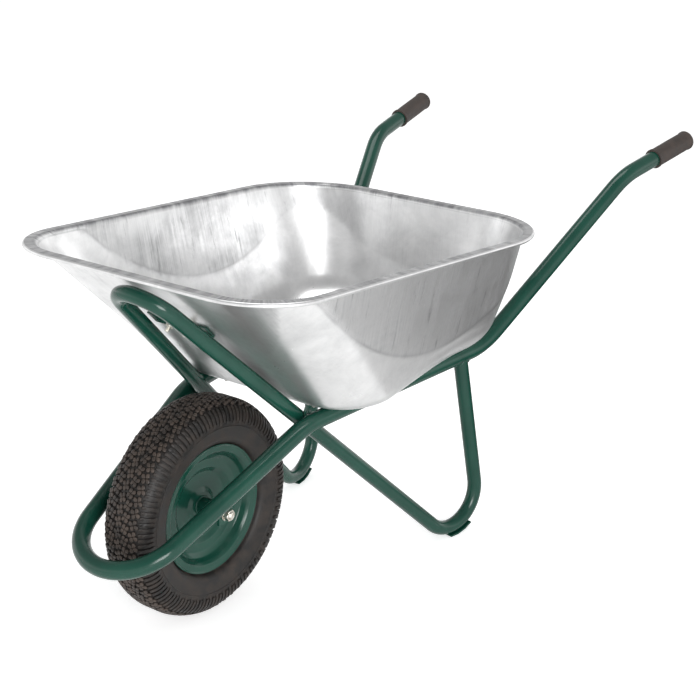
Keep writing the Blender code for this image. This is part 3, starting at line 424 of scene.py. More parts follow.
@dataclass(frozen=True)
class Polymer:
    """A moulded rubber or plastic of one family of colours with a fine grain."""

    name: str
    colour: Colour
    worn: Colour
    roughness: tuple[float, float]
    grain_scale: float = 500.0
    grain_depth: float = 0.0001
    wear_scale: float = 45.0

    def make(self) -> bpy.types.Material:
        """The moulding as a material."""
        sketch = NodeSketch(self.name)
        place = sketch.place()
        wear = sketch.noise(place, self.wear_scale, 5.0, 0.6)
        sketch.drive("Base Color", sketch.blend(sketch.spread(wear, 0.35, 0.68),
                                                self.colour, self.worn))
        sketch.drive("Roughness", sketch.spread(wear, 0.3, 0.7, *self.roughness))
        grain = sketch.noise(place, self.grain_scale, 2.0)
        sketch.drive("Normal", sketch.bump(grain, self.grain_depth))
        return sketch.material


@dataclass
class Finishes:
    """Every finish of the barrow, made once."""

    made: dict[Slot, bpy.types.Material] = field(default_factory=dict)

    def make(self) -> "Finishes":
        """Make all the materials and return this set."""
        recipes = {
            Slot.ENAMEL: Enamel(),
            Slot.SHEET: DrawnSheet(),
            Slot.ZINC: ZincPlate(),
            Slot.TYRE: TyreRubber(),
            Slot.BUTYL: Polymer("inner_tube_butyl", (0.012, 0.012, 0.012),
                                (0.030, 0.029, 0.028), (0.5, 0.7)),
            Slot.GRIP: Polymer("grip_moulded_rubber", (0.024, 0.018, 0.015),
                               (0.056, 0.041, 0.034), (0.50, 0.74), 420.0, 0.00022),
            Slot.NYLON: Polymer("bush_natural_nylon", (0.62, 0.60, 0.52),
                                (0.42, 0.40, 0.34), (0.35, 0.5)),
            Slot.CAP: Polymer("cap_black_plastic", (0.012, 0.012, 0.013),
                              (0.035, 0.035, 0.036), (0.32, 0.5)),
        }
        self.made = {slot: recipe.make() for slot, recipe in recipes.items()}
        return self

    def __getitem__(self, slot: Slot) -> bpy.types.Material:
        """The material of a slot."""
        return self.made[slot]


# ---------------------------------------------------------------- mesh making
def add_piece(name: str, mesh_data: bmesh.types.BMesh, material: bpy.types.Material,
              body: Body, stands_for: Sequence[str] = (),
              smooth_angle: float = 35.0) -> bpy.types.Object:
    """Turn a bmesh into a finished piece on a body.

    Args:
        name: the piece's name.
        mesh_data: its mesh in the row frame, which is freed.
        material: its finish.
        body: the body it rides on.
        stands_for: the CAD nodes it is shown in place of.
        smooth_angle: edges sharper than this stay sharp, in degrees.

    Returns:
        The new object.
    """
    mesh = bpy.data.meshes.new(name)
    bmesh.ops.recalc_face_normals(mesh_data, faces=mesh_data.faces)
    mesh_data.to_mesh(mesh)
    mesh_data.free()
    mesh.shade_smooth()
    mesh.set_sharp_from_angle(angle=math.radians(smooth_angle))
    mesh.materials.append(material)
    item = bpy.data.objects.new(name, mesh)
    bpy.context.scene.collection.objects.link(item)
    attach(item, body.value)
    if stands_for:
        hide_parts(*stands_for)
    return item


def axis_frame(direction: Vector, up: Vector = Vector((0, 0, 1))) -> Matrix:
    """A rotation whose Z axis is the direction."""
    z_axis = direction.normalized()
    x_axis = up.cross(z_axis)
    if x_axis.length < 1e-6:
        x_axis = Vector((1, 0, 0))
    x_axis.normalize()
    return Matrix((x_axis, z_axis.cross(x_axis), z_axis)).transposed()


def skin(result: bmesh.types.BMesh, first: list, second: list) -> None:
    """Join two closed rings of vertices; a ring of one vertex is a pole."""
    count = max(len(first), len(second))
    if count == 1:
        return
    for index in range(count):
        after = (index + 1) % count
        corners = []
        for vertex in (first[index % len(first)], first[after % len(first)],
                       second[after % len(second)], second[index % len(second)]):
            if vertex not in corners:
                corners.append(vertex)
        result.faces.new(corners)


def revolve(outline: Outline, segments: int, centre: Vector, direction: Vector,
            result: bmesh.types.BMesh | None = None,
            wobble: Callable[[float, float, float], float] | None = None) -> bmesh.types.BMesh:
    """Turn a closed outline of (along, radius) points about a line.

    Args:
        outline: the section; a point of zero radius becomes a pole.
        segments: facets round the line.
        centre: the line's origin.
        direction: the line's direction.
        result: a bmesh to add to.
        wobble: changes a radius, from (angle, along, radius).

    Returns:
        The bmesh with the turned shape in it.
    """
    result = result or bmesh.new()
    turn = axis_frame(direction)
    rings = []
    for along, radius in outline:
        loop = []
        for index in range(1 if radius == 0 else segments):
            angle = 2 * math.pi * index / segments
            reach = wobble(angle, along, radius) if wobble and radius else radius
            local = Vector((reach * math.cos(angle), reach * math.sin(angle), along))
            loop.append(result.verts.new(centre + turn @ local))
        rings.append(loop)
    for first, second in zip(rings, rings[1:] + rings[:1]):
        skin(result, first, second)
    return result


def round_corners(outline: Sequence[tuple[float, float, float]], step: float = 0.30) -> Outline:
    """Round the corners of a closed outline.

    Args:
        outline: (along, radius, corner radius) points; 0 keeps a corner sharp.
        step: the turn of one chord, in radians.

    Returns:
        The rounded outline.
    """
    points: Outline = []
    count = len(outline)
    for index, (along, height, radius) in enumerate(outline):
        corner = Vector((along, height))
        before = Vector(outline[index - 1][:2]) - corner
        after = Vector(outline[(index + 1) % count][:2]) - corner
        if radius <= 0 or before.length < 1e-9 or after.length < 1e-9:
            points.append((along, height))
            continue
        angle = before.angle(after)
        turn = math.pi - angle
        if turn < 0.02:
            points.append((along, height))
            continue
        reach = min(radius / math.tan(angle / 2), before.length * 0.49, after.length * 0.49)
        radius = reach * math.tan(angle / 2)
        before.normalize()
        after.normalize()
        middle = corner + (before + after).normalized() * radius / math.sin(angle / 2)
        start = corner + before * reach - middle
        end = corner + after * reach - middle
        chords = max(2, math.ceil(turn / step))
        for number in range(chords + 1):
            share = number / chords
            spoke = (start * math.sin((1 - share) * turn)
                     + end * math.sin(share * turn)) / math.sin(turn)
            points.append((middle.x + spoke.x, middle.y + spoke.y))
    return points


def rounded_path(corners: Sequence[Vector], radii: Sequence[float], step: float) -> Path:
    """A polyline through corners, each inner corner rounded to its radius."""
    points = [corners[0]]
    for before, corner, after, radius in zip(corners, corners[1:], corners[2:], radii):
        inward = (before - corner).normalized()
        outward = (after - corner).normalized()
        angle = inward.angle(outward)
        setback = radius / math.tan(angle / 2)
        centre = corner + (inward + outward).normalized() * radius / math.sin(angle / 2)
        start = corner + inward * setback - centre
        side = corner + outward * setback - centre
        side = (side - side.project(start)).normalized() * radius
        turn = math.pi - angle
        count = max(2, math.ceil(turn / step))
        for index in range(count + 1):
            swing = turn * index / count
            points.append(centre + start * math.cos(swing) + side * math.sin(swing))
    points.append(corners[-1])
    return [point for index, point in enumerate(points)
            if index == 0 or (point - points[index - 1]).length > 1e-5]


def path_frames(points: Sequence[Vector], closed: bool = False) -> list[tuple]:
    """Cross-section frames (normal, binormal, tangent) that turn as little as they can."""
    count = len(points)
    tangents = []
    for index in range(count):
        if closed:
            before, after = points[index - 1], points[(index + 1) % count]
        else:
            before, after = points[max(index - 1, 0)], points[min(index + 1, count - 1)]
        incoming = (points[index] - before).normalized()
        outgoing = (after - points[index]).normalized()
        tangents.append((incoming + outgoing).normalized())
    normal = tangents[0].orthogonal().normalized()
    frames = []
    for tangent in tangents:
        normal = (normal - normal.project(tangent)).normalized()
        frames.append((normal, tangent.cross(normal), tangent))
    return frames


def sweep(points: Sequence[Vector], radius: float, sides: int, closed: bool = False,
          swell: Callable[[int, float], float] | None = None,
          result: bmesh.types.BMesh | None = None) -> tuple[bmesh.types.BMesh, list[list]]:
    """A round rod along a polyline.

    Args:
        points: the centre line.
        radius: the rod's radius.
        sides: facets round the rod.
        closed: joins the last ring to the first.
        swell: a factor on the radius from (ring number, angle).
        result: a bmesh to add to.

    Returns:
        The bmesh, and the rings of vertices; an open rod has no end caps yet.
    """
    result = result or bmesh.new()
    rings = []
    for number, (point, (normal, binormal, _)) in enumerate(zip(points,
                                                                path_frames(points, closed))):
        loop = []
        for index in range(sides):
            angle = 2 * math.pi * index / sides
            reach = radius * (swell(number, angle) if swell else 1.0)
            loop.append(result.verts.new(
                point + (normal * math.cos(angle) + binormal * math.sin(angle)) * reach))
        rings.append(loop)
    for first, second in zip(rings, rings[1:] + (rings[:1] if closed else [])):
        skin(result, first, second)
    return result, rings


def close_ends(result: bmesh.types.BMesh, rings: list[list]) -> None:
    """Cap both ends of a swept rod."""
    result.faces.new(rings[0])
    result.faces.new(rings[-1])


def closest_gap(path_a: Sequence[Vector], path_b: Sequence[Vector]) -> tuple[Vector, Vector]:
    """The nearest points of two polylines, the first on a and the second on b."""
    best = (Vector(), Vector((1e9, 0, 0)))
    for start_a, end_a in zip(path_a, path_a[1:]):
        for start_b, end_b in zip(path_b, path_b[1:]):
            along_a = end_a - start_a
            along_b = end_b - start_b
            between = start_a - start_b
            aa, ab, bb = along_a.dot(along_a), along_a.dot(along_b), along_b.dot(along_b)
            ac, bc = along_a.dot(between), along_b.dot(between)
            spread = aa * bb - ab * ab
            s = min(1.0, max(0.0, (ab * bc - bb * ac) / spread)) if spread > 1e-12 else 0.0
            t = min(1.0, max(0.0, (ab * s + bc) / bb))
            s = min(1.0, max(0.0, (ab * t - ac) / aa))
            near_a = start_a + along_a * s
            near_b = start_b + along_b * t
            if (near_b - near_a).length < (best[1] - best[0]).length:
                best = (near_a, near_b)
    return best


def eased_copy(node: str, material: bpy.types.Material, body: Body,
               width: float, name: str | None = None) -> bpy.types.Object:
    """A flat-sided CAD node with its edges broken, as a piece in its place.

    Args:
        node: the CAD node.
        material: the piece's finish.
        body: the body it rides on.
        width: width of the broken edge, in metres.
        name: the piece's name, or None for the node's name with an ending.

    Returns:
        The new object.
    """
    mesh_data = bmesh.new()
    mesh_data.from_mesh(frame["nodes"][node].data)
    bmesh.ops.remove_doubles(mesh_data, verts=mesh_data.verts, dist=1e-6)
    bmesh.ops.dissolve_limit(mesh_data, angle_limit=math.radians(1.0),
                             verts=mesh_data.verts, edges=mesh_data.edges)
    item = add_piece(name or node + "_eased", mesh_data, material, body, (node,), 30.0)
    bevel = item.modifiers.new("broken_edge", "BEVEL")
    bevel.width = width
    bevel.segments = 3
    bevel.limit_method = "ANGLE"
    bevel.angle_limit = math.radians(40)
    bevel.harden_normals = True
    return item


# ---------------------------------------------------------------- frame
@dataclass
class FrameLines:
    """Smooth centre lines of both bent tubes; y is measured from the axle.

    The foot bend's height comes from the floor, and the neck bend's half width from
    the strut that is welded inside it.
    """

    tube_radius: float = 0.016
    stand_radius: float = 0.014
    loop: Vector = field(default_factory=lambda: Vector((0.086, -0.241, 0.175)))
    neck: Vector = field(default_factory=lambda: Vector((0.219, 0.129, 0.346)))
    seat: Vector = field(default_factory=lambda: Vector((0.196, 0.605, 0.369)))
    handle: Vector = field(default_factory=lambda: Vector((0.306, 0.934, 0.659)))
    grip_end: Vector = field(default_factory=lambda: Vector((0.3325, 1.142, 0.699)))
    bends: tuple[float, float, float] = (0.150, 0.120, 0.120)
    top_loop: Vector = field(default_factory=lambda: Vector((0.049, -0.140, 0.623)))
    foot: Vector = field(default_factory=lambda: Vector((0.219, 0.606, 0.020)))
    foot_bend: float = 0.070
    leg_top_back: float = 0.538
    step: float = math.radians(4)

    def solve(self) -> "FrameLines":
        """Settle the foot's height and the neck's width, and return these lines."""
        low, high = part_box("axle_rod")
        self.axle = (low + high) / 2
        self.skid_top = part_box("stand_tube")[0].z
        for _ in range(16):
            self.main = self.half_main()
            self.leg_top = self.on_main(self.leg_top_back)
            self.stand = self.half_stand()
            self.foot.z += self.skid_top + self.stand_radius - min(p.z for p in self.stand)
            on_tube, on_strut = closest_gap(self.neck_stretch(), self.strut_stretch())
            gap = on_strut - on_tube
            weld = self.tube_radius + self.stand_radius
            self.neck.x += (gap.length - weld) * gap.normalized().x
        self.neck_weld = closest_gap(self.neck_stretch(), self.strut_stretch())
        return self

    def from_axle(self, point: Vector) -> Vector:
        """A point measured from the axle along Y, in the row frame."""
        return Vector((point.x, point.y + self.axle.y, point.z))

    def half_main(self) -> Path:
        """Left half of the main tube, from the symmetry plane to the grip's end."""
        corners = [self.from_axle(point) for point in
                   (Vector((0, self.loop.y, self.loop.z)), self.loop, self.neck, self.seat,
                    self.handle, self.grip_end)]
        return rounded_path(corners, [self.full_turn(corners[1], corners[2]), *self.bends],
                            self.step)

    def half_stand(self) -> Path:
        """Left half of the stand tube, from the symmetry plane to the leg's top."""
        corners = [self.from_axle(point) for point in
                   (Vector((0, self.top_loop.y, self.top_loop.z)), self.top_loop, self.foot)]
        corners.append(self.leg_top)
        return rounded_path(corners, [self.full_turn(corners[1], corners[2]), self.foot_bend],
                            self.step)

    @staticmethod
    def full_turn(corner: Vector, following: Vector) -> float:
        """The largest bend at a corner whose mirror image is its other neighbour."""
        along = (following - corner).normalized()
        return abs(corner.x) * math.tan(Vector((-1, 0, 0)).angle(along) / 2) * 0.999

    def on_main(self, back: float) -> Vector:
        """The main tube's centre at a distance behind the axle, left side."""
        target = back + self.axle.y
        for before, after in zip(self.main, self.main[1:]):
            if before.y <= target <= after.y and after.y > before.y:
                return before.lerp(after, (target - before.y) / (after.y - before.y))
        raise ValueError("the main tube doesn't reach there")

    def on_strut(self, height: float) -> Vector:
        """The strut's centre at a height, left side."""
        for before, after in zip(self.stand, self.stand[1:]):
            if before.z >= height >= after.z and before.z > after.z:
                return before.lerp(after, (before.z - height) / (before.z - after.z))
        raise ValueError("the strut doesn't reach there")

    def neck_stretch(self) -> Path:
        """The main tube's centre line either side of the neck bend."""
        reach = 0.08
        inner = [p for p in self.main if abs(p.y - self.axle.y - self.neck.y) < reach]
        return [self.on_main(self.neck.y - reach), *inner, self.on_main(self.neck.y + reach)]

    def strut_stretch(self) -> Path:
        """The strut's centre line where it passes the neck."""
        return [self.on_strut(self.neck.z + 0.08), self.on_strut(self.neck.z - 0.08)]

    @staticmethod
    def whole(half: Path) -> Path:
        """Both sides of a half centre line as one polyline."""
        return [Side.RIGHT.point(point) for point in reversed(half[1:])] + half[1:]


@dataclass
class TubeFrame:
    """The bent tubes and the flat pieces welded to them."""

    lines: FrameLines
    finishes: Finishes
    sides: int = 40
    wall: float = 0.0015
    longest: float = 0.03
    bar_edge: float = 0.0009
    plate_edge: float = 0.0010
    bracket_edge: float = 0.0011
    bead_sides: int = 10
    leg_bead: float = 0.0026
    leg_bead_points: int = 72
    strut_bead: float = 0.0026
    strut_bead_reach: float = 0.024
    bar_bead: float = 0.0018
    bracket_bead: float = 0.0022
    strap_bead: float = 0.0018

    def build(self) -> None:
        """Make the tubes, weld beads and eased flat pieces."""
        self.main_tube()
        self.stand_tube()
        enamel = self.finishes[Slot.ENAMEL]
        for node, width in (("front_crossbar", self.bar_edge), ("rear_crossbar", self.bar_edge),
                            ("tray_support_strap", self.plate_edge)):
            eased_copy(node, enamel, Body.FRAME, width)
        for side in Side:
            for word, width in (("foot_skid_", self.plate_edge),
                                ("axle_bracket_", self.bracket_edge)):
                eased_copy(word + side.word, enamel, Body.FRAME, width)
            self.welds(side)
        log.info("tube frame built")

    def resample(self, path: Path) -> Path:
        """Split long straight stretches so that the paint's waves have points to follow."""
        points = [path[0]]
        for before, after in zip(path, path[1:]):
            count = max(1, math.ceil((after - before).length / self.longest))
            points += [before.lerp(after, n / count) for n in range(1, count + 1)]
        return points

    def main_tube(self) -> None:
        """The handle tube, open at its ends under the grips."""
        path = self.resample(self.lines.whole(self.lines.main))
        result, outside = sweep(path, self.lines.tube_radius, self.sides)
        result, inside = sweep(path, self.lines.tube_radius - self.wall, self.sides,
                               result=result)
        for end in (0, -1):
            skin(result, outside[end], inside[end])
        add_piece("main_tube_smooth", result, self.finishes[Slot.ENAMEL], Body.FRAME,
                  ("main_frame_tube",))

    def stand_tube(self) -> None:
        """The stand tube, its leg tops cut to a saddle under the main tube."""
        path = self.resample(self.lines.whole(self.lines.stand))
        result, rings = sweep(path, self.lines.stand_radius, self.sides)
        for number, side in ((0, Side.RIGHT), (-1, Side.LEFT)):
            seat = [side.point(point) for point in self.leg_seat()]
            beside = rings[1] if number == 0 else rings[-2]
            for vertex, foot in zip(rings[number], beside):
                vertex.co = self.onto_tube(foot.co, vertex.co - foot.co, seat)
        close_ends(result, rings)
        add_piece("stand_tube_smooth", result, self.finishes[Slot.ENAMEL], Body.FRAME,
                  ("stand_tube",))
        for side in Side:
            number = -1 if side is Side.LEFT else 0
            self.saddle_bead("leg_weld_" + side.word, side, number)

    def leg_seat(self) -> Path:
        """The main tube's centre line above the leg, left side."""
        back = self.lines.leg_top_back
        return [self.lines.on_main(back + shift * 0.01) for shift in range(-8, 9)]

    def onto_tube(self, start: Vector, along: Vector, seat: Path) -> Vector:
        """The point where a line along the leg meets the main tube's surface."""
        along = along.normalized()
        reach = 0.0
        for _ in range(24):
            point = start + along * reach
            near = min((self.near_line(point, a, b) for a, b in zip(seat, seat[1:])),
                       key=lambda other: (other - point).length)
            reach += (point - near).length - self.lines.tube_radius
        return start + along * reach

    @staticmethod
    def near_line(point: Vector, start: Vector, end: Vector) -> Vector:
        """The nearest point of a straight stretch."""
        along = end - start
        share = (point - start).dot(along) / along.length_squared
        return start + along * min(1.0, max(0.0, share))

    def saddle_bead(self, name: str, side: Side, number: int) -> None:
        """A weld bead round the top of a leg.

        Args:
            name: the piece's name.
            side: the leg's side.
            number: index of the path's end at that leg.
        """
        path = self.resample(self.lines.whole(self.lines.stand))
        end, before = path[number], path[number + 1 if number == 0 else number - 1]
        along = (end - before).normalized()
        normal = along.orthogonal().normalized()
        binormal = along.cross(normal)
        seat = [side.point(point) for point in self.leg_seat()]
        loop = []
        for index in range(self.leg_bead_points):
            angle = 2 * math.pi * index / self.leg_bead_points
            out = (normal * math.cos(angle) + binormal * math.sin(angle))
            start = before + out * (self.lines.stand_radius + 0.0006)
            loop.append(self.onto_tube(start, along, seat))
        self.bead(name, loop, self.leg_bead, closed=True)

    def bead(self, name: str, path: Path, radius: float, closed: bool = False) -> None:
        """A rippled weld bead along a path."""
        seed = sum(ord(letter) for letter in name)

        def swell(number: int, angle: float) -> float:
            """Ripples of the weld pool and uneven width."""
            ripple = 0.10 * math.sin(number * 1.9)
            uneven = 0.22 * noise.noise(Vector((number * 0.23, seed, angle * 0.3)))
            fade = 1.0 if closed else min(1.0, 0.35 + min(number, len(path) - 1 - number) * 0.22)
            return (1.0 + ripple + uneven) * fade

        result, rings = sweep(path, radius, self.bead_sides, closed, swell)
        if not closed:
            close_ends(result, rings)
        add_piece(name, result, self.finishes[Slot.ENAMEL], Body.FRAME,
                  smooth_angle=60.0)

    def welds(self, side: Side) -> None:
        """Beads where strut, brackets, crossbars and strap meet the tubes on one side."""
        on_tube, on_strut = self.lines.neck_weld
        gap = (on_strut - on_tube).normalized()
        touch = on_tube + gap * self.lines.tube_radius
        strut = self.lines.strut_stretch()
        tube = self.lines.neck_stretch()
        along = ((strut[0] - strut[1]).normalized() + (tube[-1] - tube[0]).normalized())
        along = (along - along.project(gap)).normalized()
        across = along.cross(gap)
        for word, turn in (("upper", 1), ("lower", -1)):
            path = [touch + along * self.strut_bead_reach * share
                    + across * turn * (0.0035 + 0.003 * share ** 2)
                    for share in (number / 12 - 1 for number in range(25))]
            self.bead(f"strut_weld_{word}_{side.word}", [side.point(p) for p in path],
                      self.strut_bead)
        for word in ("front", "rear"):
            self.crossbar_welds(word, side)
        self.bracket_weld(side)
        self.strap_weld(side)

    def crossbar_welds(self, word: str, side: Side) -> None:
        """A bead along each lower edge of a crossbar's end."""
        low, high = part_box(word + "_crossbar")
        for name, shift in (("front", low.y - 0.0004), ("back", high.y + 0.0004)):
            centre = self.lines.on_main(shift - self.lines.axle.y)
            path = []
            for number in range(11):
                angle = math.radians(20 + 5 * number)
                reach = self.lines.tube_radius + 0.0004
                path.append(centre + Vector((-math.cos(angle), 0, math.sin(angle))) * reach)
            self.bead(f"{word}_crossbar_weld_{name}_{side.word}",
                      [side.point(p) for p in path], self.bar_bead)

    def bracket_weld(self, side: Side) -> None:
        """A bead along the axle bracket's top edge, under the main tube."""
        low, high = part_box("axle_bracket_left")
        path = []
        for number in range(19):
            y = low.y + (high.y - low.y) * number / 18
            centre = self.lines.on_main(y - self.lines.axle.y)
            lift = min(0.9, max(-0.9, (high.z - centre.z) / self.lines.tube_radius))
            reach = self.lines.tube_radius * math.sqrt(1 - lift * lift)
            path.append(Vector((centre.x - reach - 0.0006, y, high.z)))
        self.bead("bracket_weld_" + side.word, [side.point(p) for p in path], self.bracket_bead)

    def strap_weld(self, side: Side) -> None:
        """A bead across the end of the tray's support strap."""
        low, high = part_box("tray_support_strap")
        path = []
        for number in range(15):
            z = low.z + (high.z - low.z) * number / 14
            centre = self.lines.on_strut(z)
            y = low.y + (high.y - low.y) * (1 - number / 14)
            path.append(Vector((centre.x - self.lines.stand_radius * 0.80, y, z)))
        self.bead("strap_weld_" + side.word, [side.point(p) for p in path], self.strap_bead)


# ---------------------------------------------------------------- tray
@dataclass
class Tray:
    """The deep-drawn tray: flat floor, leaning walls, flat lip and rolled edge.

    Half widths and distances behind the axle belong to the sharp edges between
    floor and wall and between wall and lip.
    """

    lines: FrameLines
    finishes: Finishes
    sheet: float = 0.0010
    floor_front: tuple[float, float, float] = (0.246, 0.148, 0.100)
    floor_rear: tuple[float, float, float] = (0.231, 0.641, 0.120)
    mouth_front: tuple[float, float, float] = (0.293, -0.142, 0.113)
    mouth_rear: tuple[float, float, float] = (0.310, 0.671, 0.158)
    mouth_heights: tuple[float, float] = (0.662, 0.613)
    floor_bend: float = 0.074
    lip: float = 0.016
    lip_bend: float = 0.004
    roll: float = 0.0040
    corner_steps: int = 22
    edge_steps: int = 30
    floor_steps: int = 10
    bend_steps: int = 12
    wall_steps: int = 26
    crease_bulge: float = 0.0045
    crease_near: tuple[float, float, float] = (0.450, -0.080, 1.25)
    crease_far: tuple[float, float, float] = (0.490, -0.080, 1.40)
    crease_end: tuple[float, float] = (0.470, 1.50)
    crease_fade: float = 0.06
    crease_soft: float = 0.005
    crease_width: float = 0.012
    bolt_backs: tuple[float, float] = (0.196, 0.500)
    floor_drawn: float = 0.12
    low_drawn: float = 0.22
    # Drawn values above 1 darken the lip: grey wear and painted shade on its flat, and painted
    # shade lines along its bend and outer edge.
    bend_drawn: float = 1.50
    lip_drawn: float = 1.42
    brink_drawn: float = 1.46
    roll_drawn: float = 0.40
    end_eases: float = 0.6

    def build(self) -> None:
        """Press the sheet and dress it."""
        self.set_floor()
        lower, upper = self.edges()
        columns = [self.column(low, high, upper, number)
                   for number, (low, high) in enumerate(zip(lower, upper))]
        result = bmesh.new()
        levels = len(columns[0])
        rings = [[result.verts.new(column[level][0]) for column in columns]
                 for level in range(levels)]
        middle = result.verts.new(self.centre)
        skin(result, [middle], rings[0])
        for first, second in zip(rings, rings[1:]):
            skin(result, first, second)
        result.verts.index_update()
        facts = {middle.index: ((0.0, 0.0, -0.2), 0.0)}
        for level, ring in enumerate(rings):
            for vertex, column in zip(ring, columns):
                facts[vertex.index] = column[level][1:]
        item = self.dress(result, facts)
        log.info("%s pressed, %d points", item.name, len(item.data.vertices))

    def set_floor(self) -> None:
        """Find the floor's plane from its mount and from the main tube's slope."""
        front, rear = (self.lines.on_main(back) for back in self.bolt_backs)
        self.slope = (rear.z - front.z) / (rear.y - front.y)
        mount = next(item for item in frame["record"]["mounts"] if item["name"] == "tray_floor")
        _, self.floor_at, self.floor_z = mount["pos_m"]
        y = (self.floor_front[1] + self.floor_rear[1]) / 2 + self.lines.axle.y
        self.centre = Vector((0, y, self.floor(y)))

    def floor(self, y: float) -> float:
        """Height of the floor's upper face at y."""
        return self.floor_z + (y - self.floor_at) * self.slope

    def mouth(self, y: float) -> float:
        """Height of the mouth's plane at y."""
        front = self.mouth_front[1] + self.lines.axle.y
        rear = self.mouth_rear[1] + self.lines.axle.y
        share = (y - front) / (rear - front)
        return self.mouth_heights[0] + share * (self.mouth_heights[1] - self.mouth_heights[0])

    def edges(self) -> tuple[Path, Path]:
        """The sharp edges of floor and mouth, point for point."""
        lower = self.outline(self.floor_front, self.floor_rear)
        upper = self.outline(self.mouth_front, self.mouth_rear)
        return ([Vector((p.x, p.y, self.floor(p.y))) for p in lower],
                [Vector((p.x, p.y, self.mouth(p.y))) for p in upper])

    def outline(self, front: tuple[float, float, float],
                rear: tuple[float, float, float]) -> list[Vector]:
        """A symmetric trapezoid with rounded corners, as (x, y) points.

        Args:
            front: half width, distance behind the axle and corner radius in front.
            rear: the same at the back.

        Returns:
            Points in order round the outline, as many for any sizes.
        """
        shift = self.lines.axle.y
        corners = [(Vector((sign * half, back + shift)), radius)
                   for sign, (half, back, radius) in
                   ((1, rear), (1, front), (-1, front), (-1, rear))]
        arcs = []
        for index, (corner, radius) in enumerate(corners):
            inward = (corners[index - 1][0] - corner).normalized()
            outward = (corners[(index + 1) % 4][0] - corner).normalized()
            angle = inward.angle(outward)
            centre = corner + (inward + outward).normalized() * radius / math.sin(angle / 2)
            start = corner + inward * radius / math.tan(angle / 2) - centre
            end = corner + outward * radius / math.tan(angle / 2) - centre
            side = (end - end.project(start)).normalized() * radius
            turn = (math.pi - angle) / self.corner_steps
            arcs.append([centre + start * math.cos(turn * n) + side * math.sin(turn * n)
                         for n in range(self.corner_steps + 1)])
        points = []
        for index, arc in enumerate(arcs):
            following = arcs[(index + 1) % 4][0]
            points += arc
            points += [arc[-1].lerp(following, n / self.edge_steps)
                       for n in range(1, self.edge_steps)]
        return points

    def column(self, low: Vector, high: Vector, upper: Path,
               number: int) -> list[tuple[Vector, Colour, float]]:
        """One inside line from the floor to the end of the rolled edge.

        Args:
            low: sharp edge between floor and wall.
            high: sharp edge between wall and lip.
            upper: all the sharp edges between wall and lip.
            number: this column's place among them.

        Returns:
            For each point its place, its sheet coordinates and how much it was drawn; on the lip
            that value also sets painted shade.
        """
        along = upper[(number + 1) % len(upper)] - upper[number - 1]
        along = Vector((along.x, along.y, 0)).normalized()
        outward = Vector((-along.y, along.x, 0))
        if outward.dot(high - self.centre) < 0:
            outward = -outward
        worked = 1.0 - self.end_eases * outward.y ** 2
        bend = self.even_bend(self.centre.lerp(low, 0.40), low, high, self.floor_bend,
                              self.bend_steps)
        floor = [self.centre.lerp(bend[1], (n + 1) / self.floor_steps)
                 for n in range(self.floor_steps - 1)]
        wall_start = bend[-2]
        edge = self.even_bend(wall_start, high, high + outward * self.lip, self.lip_bend, 4)
        wall = [wall_start.lerp(edge[1], (n + 1) / self.wall_steps)
                for n in range(self.wall_steps - 1)]
        lines = [self.crease(point, outward) for point in wall]
        points = [(point, self.floor_drawn) for point in floor + bend[1:-1]]
        points += [(self.bulged(point, wall_start, high, outward, line),
                    self.drawn(point, line) * worked) for point, line in zip(wall, lines)]
        inner, outer = edge[-2], edge[-1]
        # Painted shade lines along the lip's bend and outer edge; grey wear and painted shade on
        # its flat.
        points += [(point, self.bend_drawn) for point in edge[1:-1]]
        points += [(inner.lerp(outer, share), self.lip_drawn) for share in (0.20, 0.84)]
        points += [(outer, self.brink_drawn)]
        points += [(point, self.roll_drawn) for point in self.rolled(outer, outward)]
        rise = -(bend[1] - low).length
        result = []
        before = points[self.floor_steps - 2][0]
        for point, drawn in points:
            rise += (point - before).length if point.z > self.floor(point.y) + 1e-4 else 0.0
            before = point
            spot = along * (point - self.centre).dot(along)
            result.append((point, (spot.x, spot.y, rise), drawn))
        return result

    @staticmethod
    def even_bend(before: Vector, corner: Vector, after: Vector, radius: float,
                  steps: int) -> Path:
        """A rounded corner with the same number of chords in every column."""
        turn = math.pi - (before - corner).angle(after - corner)
        return rounded_path([before, corner, after], [radius], turn / steps * 1.0001)

    def crease(self, point: Vector, outward: Vector) -> float:
        """Height below which the wall wasn't drawn over the die, beside a wall point."""
        base, middle, bow = self.crease_near if outward.x > 0 else self.crease_far
        side = base + bow * (point.y - middle) ** 2
        end_base, end_bow = self.crease_end
        end = end_base + end_bow * point.x ** 2
        share = outward.x ** 2
        return share * side + (1 - share) * end

    def bulged(self, point: Vector, bottom: Vector, top: Vector, outward: Vector,
               line: float) -> Vector:
        """A wall point pushed out so that the wall has a soft crest along the crease."""
        room = max(0.0, min(1.0, (top.z - line) / self.crease_fade))
        room *= max(0.0, min(1.0, 1 + 2 * outward.y))
        span = (top.z - line) if point.z > line else (line - bottom.z)
        if span <= 0 or room == 0:
            return point
        soft = self.crease_soft
        away = math.sqrt((point.z - line) ** 2 + soft ** 2) - soft
        return point + outward * self.crease_bulge * room * max(0.0, 1 - away / span)

    def drawn(self, point: Vector, line: float) -> float:
        """How much the sheet was drawn at a wall point, from 0 to 1."""
        share = max(0.0, min(1.0, (point.z - line) / self.crease_width + 0.5))
        return self.low_drawn + (1 - self.low_drawn) * share

    def rolled(self, edge: Vector, outward: Vector) -> Path:
        """The rolled edge, turned down and under from the lip's outer edge."""
        centre = edge + Vector((0, 0, -self.roll))
        return [centre + outward * self.roll * math.sin(angle)
                + Vector((0, 0, self.roll * math.cos(angle)))
                for angle in (math.radians(25 * n) for n in range(1, 12))]

